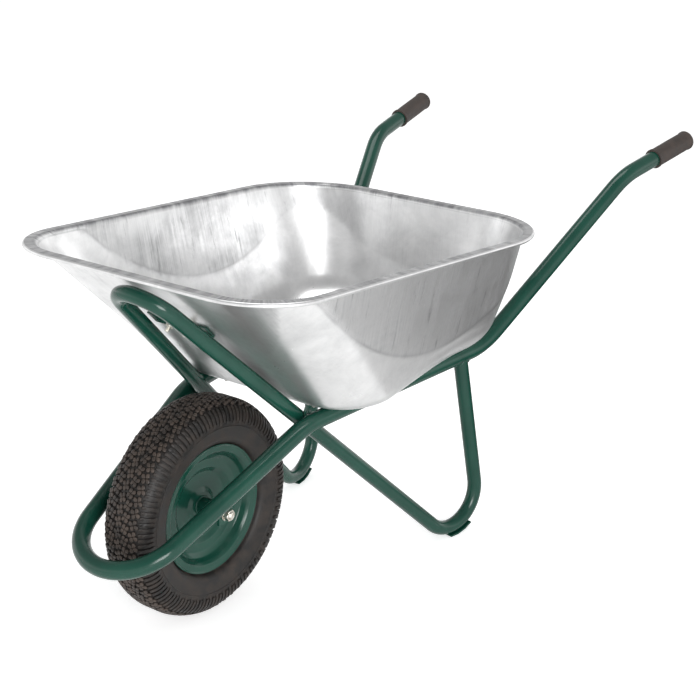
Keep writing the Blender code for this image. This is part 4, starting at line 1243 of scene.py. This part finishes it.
    def dress(self, result: bmesh.types.BMesh,
              facts: dict[int, tuple[Colour, float]]) -> bpy.types.Object:
        """Make the object, its attributes and its thickness."""
        bmesh.ops.recalc_face_normals(result, faces=result.faces)
        floor_face = min(result.faces,
                         key=lambda face: (face.calc_center_median() - self.centre).length)
        upside_down = floor_face.normal.z < 0
        item = add_piece("tray_pressed", result, self.finishes[Slot.SHEET], Body.FRAME,
                         ("tray",), 50.0)
        if upside_down:
            item.data.flip_normals()
        ordered = [facts[index] for index in range(len(facts))]
        sheet = item.data.attributes.new("sheet", "FLOAT_VECTOR", "POINT")
        sheet.data.foreach_set("vector", [value for place, _ in ordered for value in place])
        drawn = item.data.attributes.new("drawn", "FLOAT", "POINT")
        drawn.data.foreach_set("value", [amount for _, amount in ordered])
        solid = item.modifiers.new("sheet_thickness", "SOLIDIFY")
        solid.thickness = self.sheet
        solid.offset = -1
        solid.use_even_offset = True
        return item


# ---------------------------------------------------------------- fasteners and axle
def thread(radius: float, pitch: float, begin: float, end: float) -> Callable:
    """A wobble that cuts a screw thread into the shank between two places.

    Args:
        radius: the shank's radius.
        pitch: the thread's pitch.
        begin: where the thread starts along the shank.
        end: where it ends.

    Returns:
        A function of (angle, along, radius) for revolve.
    """
    depth = pitch * 0.55

    def wobble(angle: float, along: float, reach: float) -> float:
        """The radius with the thread's groove taken out."""
        if abs(reach - radius) > 1e-6 or not begin <= along <= end:
            return reach
        phase = (along / pitch - angle / (2 * math.pi)) % 1.0
        return reach - depth * abs(2 * phase - 1)

    return wobble


def hexagon(across: float, low: float, high: float, bore: float) -> Callable:
    """A wobble that makes a turned blank into a chamfered hexagon nut."""

    def wobble(angle: float, along: float, reach: float) -> float:
        """The nut's radius, or the bore's."""
        if reach < bore * 1.35:
            return reach
        flat = across / 2 / math.cos(angle % (math.pi / 3) - math.pi / 6)
        cone = across / 2 * 0.97 + min(along - low, high - along) * 1.75
        return min(flat, cone)

    return wobble


@dataclass
class Fasteners:
    """Tray bolts and the axle's hardware, all in bright zinc."""

    lines: FrameLines
    finishes: Finishes
    gap: float = 0.0003
    tray_sheet: float = 0.0010
    bolt_radius: float = 0.0040
    bolt_pitch: float = 0.00125
    head_radius: float = 0.0095
    head: float = 0.0040
    washer_radius: float = 0.0090
    washer: float = 0.0016
    nut_across: float = 0.0130
    nut: float = 0.0065
    stickout: float = 0.0090
    axle_radius: float = 0.0060
    axle_pitch: float = 0.00175
    axle_nut_across: float = 0.0190
    axle_thread: float = 0.022

    def build(self) -> None:
        """Make every bolt, washer and nut."""
        for place, grip in (("front", 0.0025), ("rear", 0.0025), ("strap", 0.0035)):
            for side in Side:
                self.tray_bolt(f"{place}_{side.word}", grip)
        self.axle()
        log.info("fasteners built")

    def add(self, node: str, result: bmesh.types.BMesh) -> None:
        """Add a fastener in place of its plain CAD node."""
        add_piece(node + "_detailed", result, self.finishes[Slot.ZINC], Body.FRAME,
                  (node,), 40.0)

    @staticmethod
    def middle(node: str) -> Vector:
        """The middle of a CAD node's box."""
        low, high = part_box(node)
        return (low + high) / 2

    def tray_bolt(self, place: str, grip: float) -> None:
        """A mushroom-headed bolt with its washer and nut.

        Args:
            place: which bolt, as in the node's name.
            grip: thickness of the bar or strap under the sheet.
        """
        washer, nut = self.middle("washer_" + place), self.middle("nut_" + place)
        along = (nut - washer).normalized()
        washer_at = self.tray_sheet + grip + 2 * self.gap
        nut_at = washer_at + self.washer + self.gap
        start = washer - along * (washer_at + self.washer / 2)
        tip = nut_at + self.nut + self.stickout
        dome = [(-self.gap - self.head * math.cos(math.radians(15 * n)),
                 self.head_radius * math.sin(math.radians(15 * n))) for n in range(7)]
        rows = int((tip - 0.0008) / self.bolt_pitch * 6)
        shank = [(-self.gap + 0.0002 + (tip - 0.0010) * n / rows, self.bolt_radius)
                 for n in range(rows + 1)]
        outline = dome + shank + [(tip, self.bolt_radius * 0.80), (tip, 0)]
        cut = thread(self.bolt_radius, self.bolt_pitch, washer_at - 0.002, tip)
        self.add("bolt_" + place, revolve(outline, 24, start, along, wobble=cut))
        bore = self.bolt_radius + self.gap
        self.add("washer_" + place,
                 self.plain_washer(start, along, washer_at, bore, self.washer_radius, self.washer))
        self.add("nut_" + place,
                 self.hex_nut(start, along, nut_at, bore, self.nut_across, self.nut))

    @staticmethod
    def plain_washer(start: Vector, along: Vector, at: float, bore: float, radius: float,
                     thickness: float) -> bmesh.types.BMesh:
        """A stamped washer with softly rounded edges."""
        ease = thickness * 0.25
        outline = round_corners([(at, bore, ease), (at, radius, ease * 1.4),
                                 (at + thickness, radius, ease), (at + thickness, bore, ease)])
        return revolve(outline, 36, start, along)

    @staticmethod
    def hex_nut(start: Vector, along: Vector, at: float, bore: float, across: float,
                height: float) -> bmesh.types.BMesh:
        """A hexagon nut chamfered on both faces."""
        outer = across / math.sqrt(3)
        shares = (0.0, 0.06, 0.14, 0.24, 0.40, 0.60, 0.76, 0.86, 0.94, 1.0)
        outline = [(at, bore * 1.12)] + [(at + height * share, outer) for share in shares]
        outline += [(at + height, bore * 1.12), (at + height * 0.93, bore),
                    (at + height * 0.07, bore)]
        return revolve(outline, 48, start, along, wobble=hexagon(across, at, at + height, bore))

    def axle(self) -> None:
        """The axle rod, threaded at both ends, with spacers, washers and nuts."""
        centre = self.lines.axle
        low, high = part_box("axle_rod")
        half = (high.x - low.x) / 2
        rows = int(self.axle_thread / self.axle_pitch * 6)
        radius = self.axle_radius
        end = [(half - 0.0008 - self.axle_thread * n / rows, radius) for n in range(rows + 1)]
        end = [(half, 0.0), (half, radius * 0.80)] + end
        outline = end + [(-x, r) for x, r in reversed(end)]
        pitch = self.axle_pitch

        def cut(angle: float, along: float, reach: float) -> float:
            """Threads at both ends of the rod."""
            if abs(along) < half - self.axle_thread:
                return reach
            return thread(radius, pitch, -half, half)(angle, along, reach)

        self.add("axle_rod", revolve(outline, 28, centre, Vector((1, 0, 0)), wobble=cut))
        bore = radius + self.gap
        for side in Side:
            out = Vector((side.value, 0, 0))
            for word, shape in (("spacer", self.sleeve), ("washer", self.plain_washer)):
                low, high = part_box(f"axle_{word}_{side.word}")
                begin = min(abs(low.x), abs(high.x))
                self.add(f"axle_{word}_{side.word}",
                         shape(centre, out, begin, bore, (high.z - low.z) / 2, high.x - low.x))
            low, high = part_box("axle_nut_" + side.word)
            self.add("axle_nut_" + side.word,
                     self.hex_nut(centre, out, min(abs(low.x), abs(high.x)), bore,
                                  self.axle_nut_across, high.x - low.x))

    @staticmethod
    def sleeve(start: Vector, along: Vector, at: float, bore: float, radius: float,
               length: float) -> bmesh.types.BMesh:
        """A cut length of tube with its ends deburred."""
        ease = 0.0004
        outline = round_corners([(at, bore, ease), (at, radius, ease),
                                 (at + length, radius, ease), (at + length, bore, ease)])
        return revolve(outline, 36, start, along)


# ---------------------------------------------------------------- grips
@dataclass
class Grips:
    """Plain moulded rubber grips with a bead at each end."""

    lines: FrameLines
    finishes: Finishes
    length: float = 0.118
    radius: float = 0.0189
    end_wall: float = 0.005
    front_bead: float = 0.0014
    end_bead: float = 0.0012

    def build(self) -> None:
        """Mould both grips."""
        end = self.lines.main[-1]
        direction = (end - self.lines.main[-2]).normalized()
        for side in Side:
            along = side.point(direction)
            start = side.point(end) - along * (self.length - self.end_wall - 0.0003)
            add_piece("grip_moulded_" + side.word,
                      revolve(self.outline(), 96, start, along),
                      self.finishes[Slot.GRIP], Body.FRAME,
                      ("grip_" + side.word,), 40.0)
        log.info("grips moulded")

    def outline(self) -> Outline:
        """The grip's section, from its open mouth round the outside and back inside."""
        bore = self.lines.tube_radius + 0.0002
        body, length = self.radius, self.length
        corners = [(0.0, bore, 0.0), (0.0, body + self.front_bead, 0.0012),
                   (0.0050, body + self.front_bead, 0.0016), (0.0066, body, 0.0010),
                   (length * 0.5, body + 0.0002, 0.0), (length - 0.0075, body, 0.0012),
                   (length - 0.0060, body + self.end_bead, 0.0012),
                   (length - 0.0022, body + self.end_bead, 0.0020),
                   (length, body - 0.0030, 0.0020), (length, 0.0, 0.0),
                   (length - self.end_wall, 0.0, 0.0), (length - self.end_wall, bore, 0.0)]
        return round_corners(corners)


# ---------------------------------------------------------------- wheel
@dataclass
class Tyre:
    """The pneumatic tyre: carcass, block tread, shoulder bars and moulded rings.

    The section is drawn on the right half as (distance from the middle, radius).
    """

    centre: Vector
    finishes: Finishes
    segments: int = 144
    pitches: int = 60
    tread_depth: float = 0.0040
    shoulder_depth: float = 0.0026
    row_gap: float = 0.0150
    block: tuple[float, float] = (0.0134, 0.0172)
    sipe: float = 0.0006
    block_turn: float = math.radians(20)
    shoulder_bars: int = 120
    bar_width: float = 0.0058
    bar_start: float = 0.0015
    bar_ends: tuple[float, float] = (0.0048, 0.0005)
    bar_taper: float = 0.0012
    bar_ease: float = 0.0006
    bar_worn: float = 0.5
    floor: tuple = ((0.0, 0.1958, 0.0), (0.0225, 0.1938, 0.09), (0.0372, 0.1868, 0.04),
                    (0.0460, 0.1755, 0.04), (0.0484, 0.1660, 0.09))
    wall: tuple = ((0.0490, 0.1572, 0.05), (0.0489, 0.1546, 0.0006), (0.0497, 0.1541, 0.0004),
                   (0.0497, 0.1533, 0.0004), (0.0488, 0.1528, 0.0006), (0.0455, 0.1300, 0.08),
                   (0.0400, 0.1226, 0.02), (0.0335, 0.1200, 0.005), (0.0317, 0.1160, 0.002),
                   (0.0317, 0.1063, 0.002), (0.0247, 0.1022, 0.001))
    cavity: tuple = ((0.0167, 0.1078, 0.004), (0.0257, 0.1170, 0.010), (0.0440, 0.1505, 0.030),
                     (0.0440, 0.1645, 0.020), (0.0330, 0.1770, 0.020), (0.0225, 0.1850, 0.020))

    def build(self) -> None:
        """Mould the tyre as one piece."""
        right = list(self.floor[1:]) + list(self.wall)
        section = [self.floor[0]] + right + list(self.cavity)
        section += [(0.0, 0.1870, 0.0)]
        section += [(-x, r, ease) for x, r, ease in reversed(self.cavity)]
        section += [(-x, r, ease) for x, r, ease in reversed(right)]
        outline = round_corners(section, 0.16)
        result = revolve(outline, self.segments, self.centre, Vector((1, 0, 0)))
        relief = [self.wall_relief(radius) for _, radius in outline
                  for _ in range(self.segments)]
        self.track = self.measured([point for point in
                                    round_corners([(-0.001, 0.1958, 0.0)] + right[:5], 0.05)])
        for side in Side:
            self.shoulder(result, relief, side)
        self.tread(result, relief)
        item = add_piece("tyre_moulded", result, self.finishes[Slot.TYRE], Body.WHEEL,
                         ("tyre",), 38.0)
        layer = item.data.attributes.new("relief", "FLOAT", "POINT")
        layer.data.foreach_set("value", relief)
        log.info("tyre moulded, %d points", len(relief))

    @staticmethod
    def wall_relief(radius: float) -> float:
        """The relief value of a carcass point: grooves are low, the sidewall is even."""
        return 0.0 if radius > 0.176 else min(0.45, (0.176 - radius) * 45)

    @staticmethod
    def measured(outline: Outline) -> list[tuple[float, Vector]]:
        """The groove floor's half section as (distance from the crown, point)."""
        points = [Vector(point) for point in outline if point[0] >= 0]
        track = [(0.0, Vector((0.0, points[0].y)))]
        for point in points:
            before, last = track[-1]
            track.append((before + (point - last).length, point))
        return track

    def at(self, distance: float, height: float) -> Vector:
        """A point above the groove floor, as (distance from the middle, radius).

        Args:
            distance: along the section from the crown; negative on the other half.
            height: above the floor, square to it.

        Returns:
            The point in the section's plane.
        """
        reach = abs(distance)
        for (begin, start), (end, stop) in zip(self.track, self.track[1:]):
            if reach <= end and end > begin:
                break
        share = (reach - begin) / (end - begin)
        along = (stop - start).normalized()
        point = start.lerp(stop, share) + Vector((-along.y, along.x)) * height
        return Vector((math.copysign(1, distance) * point.x, point.y))

    def block_on(self, result: bmesh.types.BMesh, relief: list[float],
                 footprint: Sequence[tuple[float, float]], height: float, angle: float,
                 ease: float = 0.0008, worn: float = 1.0) -> None:
        """Raise a rounded block from the groove floor.

        Args:
            result: the tyre's bmesh.
            relief: the relief of every point so far, which is extended.
            footprint: (along the section, round the tyre) points in metres.
            height: the block's height.
            angle: where the block's middle is round the tyre.
            ease: width of the rounded top edge.
            worn: the relief value of the top.
        """
        middle = [sum(values) / len(footprint) for values in zip(*footprint)]
        levels = ((-0.0012, -0.0004, 0.2), (height * 0.35, -0.0001, 0.35),
                  (height - ease, 0.0, 0.75), (height - ease * 0.3, ease * 0.35, 0.95),
                  (height, ease, 1.0))
        rings = []
        for rise, inset, value in levels:
            ring = []
            for along, across in footprint:
                away = Vector((along - middle[0], across - middle[1]))
                moved = away * max(0.2, 1 - inset / away.length)
                x, radius = self.at(middle[0] + moved.x, rise)
                turn = angle + (middle[1] + moved.y) / radius
                ring.append(result.verts.new(self.centre + Vector(
                    (x, radius * math.sin(turn), radius * math.cos(turn)))))
                relief.append(value * worn)
            rings.append(ring)
        for first, second in zip(rings, rings[1:]):
            skin(result, first, second)
        for ring in (rings[0], rings[-1]):
            for number in range(len(ring) // 2 - 1):
                result.faces.new((ring[number], ring[number + 1],
                                  ring[-number - 2], ring[-number - 1]))

    def tread(self, result: bmesh.types.BMesh, relief: list[float]) -> None:
        """Five staggered rows of blocks, each split by sipes into four lobes."""
        wide, long = self.block
        for row in range(-2, 3):
            turned = self.block_turn * (-1) ** row
            cosine, sine = math.cos(turned), math.sin(turned)
            for pitch in range(self.pitches):
                angle = 2 * math.pi * (pitch + 0.5 * (row % 2)) / self.pitches
                for along in (-1, 1):
                    for across in (-1, 1):
                        lobe = self.lobe(wide / 2, long / 2, along, across)
                        footprint = [(row * self.row_gap + x * cosine - y * sine,
                                      x * sine + y * cosine) for x, y in lobe]
                        self.block_on(result, relief, footprint, self.tread_depth, angle)

    def lobe(self, wide: float, long: float, along: int, across: int) -> Outline:
        """A quarter of a clover-shaped block, with its outer corner cut away."""
        near = self.sipe / 2
        points = [(near, near), (wide * 0.60, near), (wide * 0.98, long * 0.28),
                  (wide, long * 0.62), (wide * 0.82, long * 0.92), (wide * 0.48, long),
                  (wide * 0.20, long * 0.84), (near, long * 0.56)]
        return [(along * x, across * y) for x, y in points]

    def shoulder(self, result: bmesh.types.BMesh, relief: list[float], side: Side) -> None:
        """Short bars across one shoulder, alternately long and short."""
        start = self.row_gap * 2 + self.block[0] / 2 + self.bar_start
        stop = self.track[-1][0]
        half = self.bar_width / 2
        for number in range(self.shoulder_bars):
            angle = 2 * math.pi * (number + 0.25) / self.shoulder_bars
            end = stop - self.bar_ends[number % 2]
            inner, outer = start + self.bar_taper, end - self.bar_taper
            edge = [(start, half * 0.8)]
            edge += [(inner + (outer - inner) * n / 5, half) for n in range(6)]
            edge += [(end, half * 0.5)]
            footprint = [(side.value * along, -across) for along, across in edge]
            footprint += [(side.value * along, across) for along, across in reversed(edge)]
            self.block_on(result, relief, footprint, self.shoulder_depth, angle, self.bar_ease,
                          self.bar_worn)


@dataclass
class Wheel:
    """Tyre, pressed rim halves, hub tube, bushes and valve."""

    lines: FrameLines
    finishes: Finishes
    segments: int = 128
    hub_bore: float = 0.0133
    hub_wall: float = 0.0025
    axle_bore: float = 0.0061
    bush_length: float = 0.016
    bush_radius: float = 0.0130
    flange_radius: float = 0.0175
    flange: float = 0.0030
    gap: float = 0.0003
    valve_lean: float = math.radians(30)
    valve_foot: tuple[float, float] = (0.0135, 0.1046)
    valve_radius: float = 0.0042
    valve_length: float = 0.030
    valve_hole: float = 0.0051
    cap_radius: float = 0.0055
    cap_grip: float = 0.008
    cap_length: float = 0.012
    cap_ribs: int = 16
    cap_rib: float = 0.00035
    stem_rows: int = 84
    stem_pitch: float = 0.0010
    hub_bead: float = 0.0020
    hub_bead_points: int = 72
    rim: tuple = ((0.0095, 0.0161, 0.0004), (0.0095, 0.0250, 0.0030), (0.0055, 0.0335, 0.0050),
                  (0.0055, 0.0610, 0.0060), (0.0130, 0.0712, 0.0060), (0.0130, 0.0855, 0.0060),
                  (0.0190, 0.0955, 0.0060), (0.0280, 0.0995, 0.0070), (0.0340, 0.1045, 0.0050),
                  (0.0340, 0.1140, 0.0030), (0.0362, 0.1172, 0.0012), (0.0350, 0.1184, 0.0008),
                  (0.0320, 0.1150, 0.0020), (0.0320, 0.1050, 0.0030), (0.0265, 0.1015, 0.0040),
                  (0.0130, 0.0985, 0.0040), (0.00015, 0.0915, 0.0010), (0.0110, 0.0855, 0.0040),
                  (0.0110, 0.0722, 0.0040), (0.00015, 0.0620, 0.0030), (0.00015, 0.0161, 0.0))

    def build(self) -> None:
        """Make everything that turns."""
        self.centre = self.lines.axle
        Tyre(self.centre, self.finishes).build()
        for side in Side:
            self.rim_half(side)
            self.bush(side)
        self.hub()
        self.valve()
        tube = frame["nodes"]["inner_tube"]
        for slot in tube.material_slots:
            slot.material = self.finishes[Slot.BUTYL]
        log.info("wheel built")

    def add(self, node: str, result: bmesh.types.BMesh, slot: Slot,
            ending: str = "_turned") -> bpy.types.Object:
        """Add a wheel piece in place of its CAD node."""
        return add_piece(node + ending, result, self.finishes[slot], Body.WHEEL,
                         (node,), 32.0)

    def rim_half(self, side: Side) -> None:
        """One pressed rim half with its welded seam at the hub."""
        outward = Vector((side.value, 0, 0))
        result = revolve(round_corners(self.rim, 0.20), self.segments, self.centre, outward)
        item = self.add("rim_" + side.word, result, Slot.ENAMEL, "_pressed")
        if side is Side.RIGHT:
            self.drill(item)
        self.weld_ring(side)

    def valve_line(self) -> tuple[Vector, Vector]:
        """The valve's foot and its direction to the cap."""
        lean = Vector((-math.sin(self.valve_lean), 0, -math.cos(self.valve_lean)))
        across, height = self.valve_foot
        return self.centre + Vector((-across, 0, height)), lean

    def drill(self, item: bpy.types.Object) -> None:
        """Cut the valve's hole through a rim half."""
        foot, lean = self.valve_line()
        reach = self.valve_length
        blank = revolve([(0, 0), (0, self.valve_hole), (reach, self.valve_hole), (reach, 0)],
                        32, foot, lean)
        bmesh.ops.recalc_face_normals(blank, faces=blank.faces)
        mesh = bpy.data.meshes.new("valve_drill")
        blank.to_mesh(mesh)
        blank.free()
        drill = bpy.data.objects.new("valve_drill", mesh)
        bpy.context.scene.collection.objects.link(drill)
        hole = item.modifiers.new("valve_hole", "BOOLEAN")
        hole.operation = "DIFFERENCE"
        hole.solver = "EXACT"
        hole.object = drill
        graph = bpy.context.evaluated_depsgraph_get()
        cut = bpy.data.meshes.new_from_object(item.evaluated_get(graph))
        item.modifiers.remove(hole)
        item.data = cut
        bpy.data.objects.remove(drill)

    def weld_ring(self, side: Side) -> None:
        """The bead that joins a rim half's hub flange to the hub tube."""
        radius = self.hub_bore + self.hub_wall + 0.0004
        x = side.value * (self.rim[0][0] + 0.0004)
        path = []
        for number in range(self.hub_bead_points):
            angle = 2 * math.pi * number / self.hub_bead_points
            path.append(self.centre + Vector((x, radius * math.cos(angle),
                                              radius * math.sin(angle))))

        def swell(number: int, angle: float) -> float:
            """Ripples of the weld pool."""
            return 1.0 + 0.14 * math.sin(number * 2.1) * math.cos(angle)

        result, _ = sweep(path, self.hub_bead, 10, True, swell)
        add_piece("hub_weld_" + side.word, result, self.finishes[Slot.ENAMEL], Body.WHEEL,
                  smooth_angle=60.0)

    def hub(self) -> None:
        """The hub tube with deburred ends."""
        low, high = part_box("hub_tube")
        half = (high.x - low.x) / 2
        outer = self.hub_bore + self.hub_wall
        outline = round_corners([(-half, self.hub_bore, 0.0003), (-half, outer, 0.0006),
                                 (half, outer, 0.0006), (half, self.hub_bore, 0.0003)])
        self.add("hub_tube", revolve(outline, 64, self.centre, Vector((1, 0, 0))), Slot.ENAMEL)

    def bush(self, side: Side) -> None:
        """A flanged nylon bush in one end of the hub."""
        low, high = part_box("wheel_bush_" + side.word)
        end = max(abs(low.x), abs(high.x))
        face = end - self.flange
        start = face - self.bush_length
        outline = round_corners([(start, self.axle_bore, 0.0003), (start, self.bush_radius, 0.0008),
                                 (face, self.bush_radius, 0.0), (face, self.flange_radius, 0.0006),
                                 (end, self.flange_radius, 0.0009), (end, self.axle_bore, 0.0003)])
        self.add("wheel_bush_" + side.word,
                 revolve(outline, 64, self.centre, Vector((side.value, 0, 0))), Slot.NYLON)

    def valve(self) -> None:
        """The valve's threaded stem and its ribbed cap."""
        foot, lean = self.valve_line()
        radius, length = self.valve_radius, self.valve_length
        rows = self.stem_rows
        shank = [(0.0005 + (length - 0.0012) * n / rows, radius) for n in range(rows + 1)]
        outline = [(0.0, 0.0), (0.0, radius * 0.9)] + shank
        outline += [(length, radius * 0.8), (length, 0.0)]
        cut = thread(radius, self.stem_pitch, length - self.cap_grip - 0.003, length)
        self.add("valve_stem", revolve(outline, 24, foot, lean, wobble=cut), Slot.ZINC)
        tip = foot + lean * length
        bore, outside = radius + self.gap, self.cap_radius
        mouth, closed = -self.cap_grip, self.cap_length - self.cap_grip
        outline = round_corners([(mouth, bore, 0.0), (mouth, outside, 0.0005),
                                 (closed * 0.3, outside, 0.0), (closed, outside, 0.0020),
                                 (closed, 0.0, 0.0), (self.gap, 0.0, 0.0), (self.gap, bore, 0.0)])

        def ribbed(angle: float, along: float, reach: float) -> float:
            """The cap's grip ribs."""
            if reach < self.cap_radius - 0.0003:
                return reach
            return reach - self.cap_rib * (0.5 + 0.5 * math.cos(angle * self.cap_ribs))

        self.add("valve_cap", revolve(outline, 96, tip, lean, wobble=ribbed), Slot.CAP)


# ---------------------------------------------------------------- studio
def grey_ramp(tree: bpy.types.NodeTree, source: bpy.types.NodeSocket,
              stops: Sequence[tuple[float, float]]) -> bpy.types.NodeSocket:
    """A grey that follows a value through (value, level) stops."""
    ramp = tree.nodes.new("ShaderNodeValToRGB")
    while len(ramp.color_ramp.elements) < len(stops):
        ramp.color_ramp.elements.new(0.5)
    for element, (position, level) in zip(ramp.color_ramp.elements, stops):
        element.position = position
        element.color = (level, level, level, 1.0)
    tree.links.new(source, ramp.inputs["Fac"])
    return ramp.outputs["Color"]


@dataclass(frozen=True)
class SoftBox:
    """A rectangular studio light that looks at a point."""

    name: str
    place: Colour
    target: Colour
    size: tuple[float, float]
    power: float
    colour: Colour = (1.0, 1.0, 1.0)

    def build(self) -> None:
        """Hang the light."""
        light = bpy.data.lights.new(self.name, "AREA")
        light.shape = "RECTANGLE"
        light.size, light.size_y = self.size
        light.energy = self.power
        light.color = self.colour
        item = bpy.data.objects.new(self.name, light)
        item.location = self.place
        look = Vector(self.target) - Vector(self.place)
        item.rotation_euler = look.to_track_quat("-Z", "Y").to_euler()
        bpy.context.scene.collection.objects.link(item)


@dataclass
class Studio:
    """Pale floor, graded soft surroundings, soft boxes and the camera."""

    camera_at: Colour = (1.733, -2.2695, 1.407)
    azimuth: float = math.radians(37.42)
    elevation: float = math.radians(20.11)
    roll: float = math.radians(0.34)
    lens: float = 80.7
    floor_size: float = 80.0
    floor_seen: Colour = (0.93, 0.93, 0.93)
    floor_glow: float = 0.50
    floor_lift: float = 0.38
    floor_span: float = 2.0
    floor_shade: Colour = (0.62, 1.04, 0.0)
    floor_thrown: tuple = ((0.0, 0.04), (0.20, 0.05), (0.46, 0.76), (1.0, 0.95))
    surroundings: tuple = ((0.0, 0.60), (0.46, 1.20), (0.54, 1.20), (0.63, 1.00), (0.72, 0.50),
                           (1.0, 0.40))
    bright_ends: Colour = (0.707, 0.707, 0.0)
    end_start: float = 0.35
    end_gain: float = 1.42
    boxes: tuple[SoftBox, ...] = (
        SoftBox("front_box", (2.3, -1.75, 1.05), (0.0, 0.1, 0.45), (1.15, 1.1), 43.0),
        SoftBox("overhead_box", (-0.4, 0.4, 3.4), (0.0, 0.0, 0.4), (2.2, 1.4), 34.0))

    def build(self) -> None:
        """Set the whole studio."""
        self.floor()
        self.world()
        for box in self.boxes:
            box.build()
        self.camera()
        view = bpy.context.scene.view_settings
        view.view_transform = "Standard"
        view.look = "None"
        view.exposure = 0.0
        log.info("studio set")

    def floor(self) -> None:
        """A plain pale floor, which throws less light back beside the barrow."""
        blank = bmesh.new()
        half = self.floor_size / 2
        corners = ((-half, -half), (half, -half), (half, half), (-half, half))
        blank.faces.new([blank.verts.new((x, y, 0.0)) for x, y in corners])
        mesh = bpy.data.meshes.new("studio_floor")
        blank.to_mesh(mesh)
        blank.free()
        mesh.materials.append(self.floor_finish())
        item = bpy.data.objects.new("studio_floor", mesh)
        bpy.context.scene.collection.objects.link(item)

    def floor_finish(self) -> bpy.types.Material:
        """Matt white paper, darker in the barrow's reflections than it looks."""
        sketch = NodeSketch("studio_floor_matt")
        length = sketch.tree.nodes.new("ShaderNodeVectorMath")
        length.operation = "DISTANCE"
        length.inputs[1].default_value = self.floor_shade
        sketch.link(sketch.place(), length.inputs[0])
        away = sketch.spread(length.outputs["Value"], 0.0, self.floor_span)
        thrown = grey_ramp(sketch.tree, away, self.floor_thrown)
        direct = sketch.tree.nodes.new("ShaderNodeLightPath").outputs["Is Camera Ray"]
        sketch.drive("Base Color", sketch.blend(direct, thrown, self.floor_seen))
        sketch.set("Emission Color", (1.0, 1.0, 1.0))
        lift = sketch.maths("MULTIPLY", thrown, self.floor_lift)
        glow = sketch.maths("MULTIPLY", direct, self.floor_glow)
        sketch.drive("Emission Strength", sketch.maths("ADD", glow, sketch.maths(
            "MULTIPLY", lift, sketch.maths("SUBTRACT", 1.0, direct))))
        sketch.set("Roughness", 1.0)
        sketch.set("Specular IOR Level", 0.0)
        return sketch.material

    def world(self) -> None:
        """Soft light from all round, strongest along one diagonal of the floor."""
        world = bpy.data.worlds.new("studio_surroundings")
        bpy.context.scene.world = world
        world.use_nodes = True
        tree = world.node_tree
        direction = tree.nodes.new("ShaderNodeTexCoord").outputs["Generated"]
        split = tree.nodes.new("ShaderNodeSeparateXYZ")
        tree.links.new(direction, split.inputs["Vector"])
        height = tree.nodes.new("ShaderNodeMapRange")
        height.inputs["From Min"].default_value = -1.0
        height.inputs["From Max"].default_value = 1.0
        tree.links.new(split.outputs["Z"], height.inputs["Value"])
        level = grey_ramp(tree, height.outputs["Result"], self.surroundings)
        across = tree.nodes.new("ShaderNodeVectorMath")
        across.operation = "DOT_PRODUCT"
        across.inputs[1].default_value = self.bright_ends
        tree.links.new(direction, across.inputs[0])
        either = tree.nodes.new("ShaderNodeMath")
        either.operation = "ABSOLUTE"
        tree.links.new(across.outputs["Value"], either.inputs[0])
        strength = tree.nodes.new("ShaderNodeMapRange")
        strength.inputs["From Min"].default_value = self.end_start
        strength.inputs["To Min"].default_value = 1.0
        strength.inputs["To Max"].default_value = self.end_gain
        tree.links.new(either.outputs["Value"], strength.inputs["Value"])
        tree.links.new(strength.outputs["Result"], tree.nodes["Background"].inputs["Strength"])
        tree.links.new(level, tree.nodes["Background"].inputs["Color"])

    def camera(self) -> None:
        """The camera, at the real object's viewing angle."""
        side, lift = self.azimuth, self.elevation
        back = Vector((math.sin(side) * math.cos(lift), -math.cos(side) * math.cos(lift),
                       math.sin(lift)))
        right = Vector((math.cos(side), math.sin(side), 0.0))
        up = back.cross(right)
        cosine, sine = math.cos(self.roll), math.sin(self.roll)
        columns = (cosine * right + sine * up, -sine * right + cosine * up, back)
        data = bpy.data.cameras.new("studio_camera")
        data.lens = self.lens
        data.sensor_width = 36.0
        data.clip_end = 200.0
        item = bpy.data.objects.new("studio_camera", data)
        item.matrix_world = (Matrix.Translation(self.camera_at)
                             @ Matrix(columns).transposed().to_4x4())
        bpy.context.scene.collection.objects.link(item)
        bpy.context.scene.camera = item


def main() -> None:
    """Build the barrow and its studio."""
    logging.basicConfig(level=logging.INFO, format="%(name)s: %(message)s")
    lines = FrameLines().solve()
    finishes = Finishes().make()
    TubeFrame(lines, finishes).build()
    Tray(lines, finishes).build()
    Fasteners(lines, finishes).build()
    Grips(lines, finishes).build()
    Wheel(lines, finishes).build()
    Studio().build()


if __name__ == "__main__":
    main()
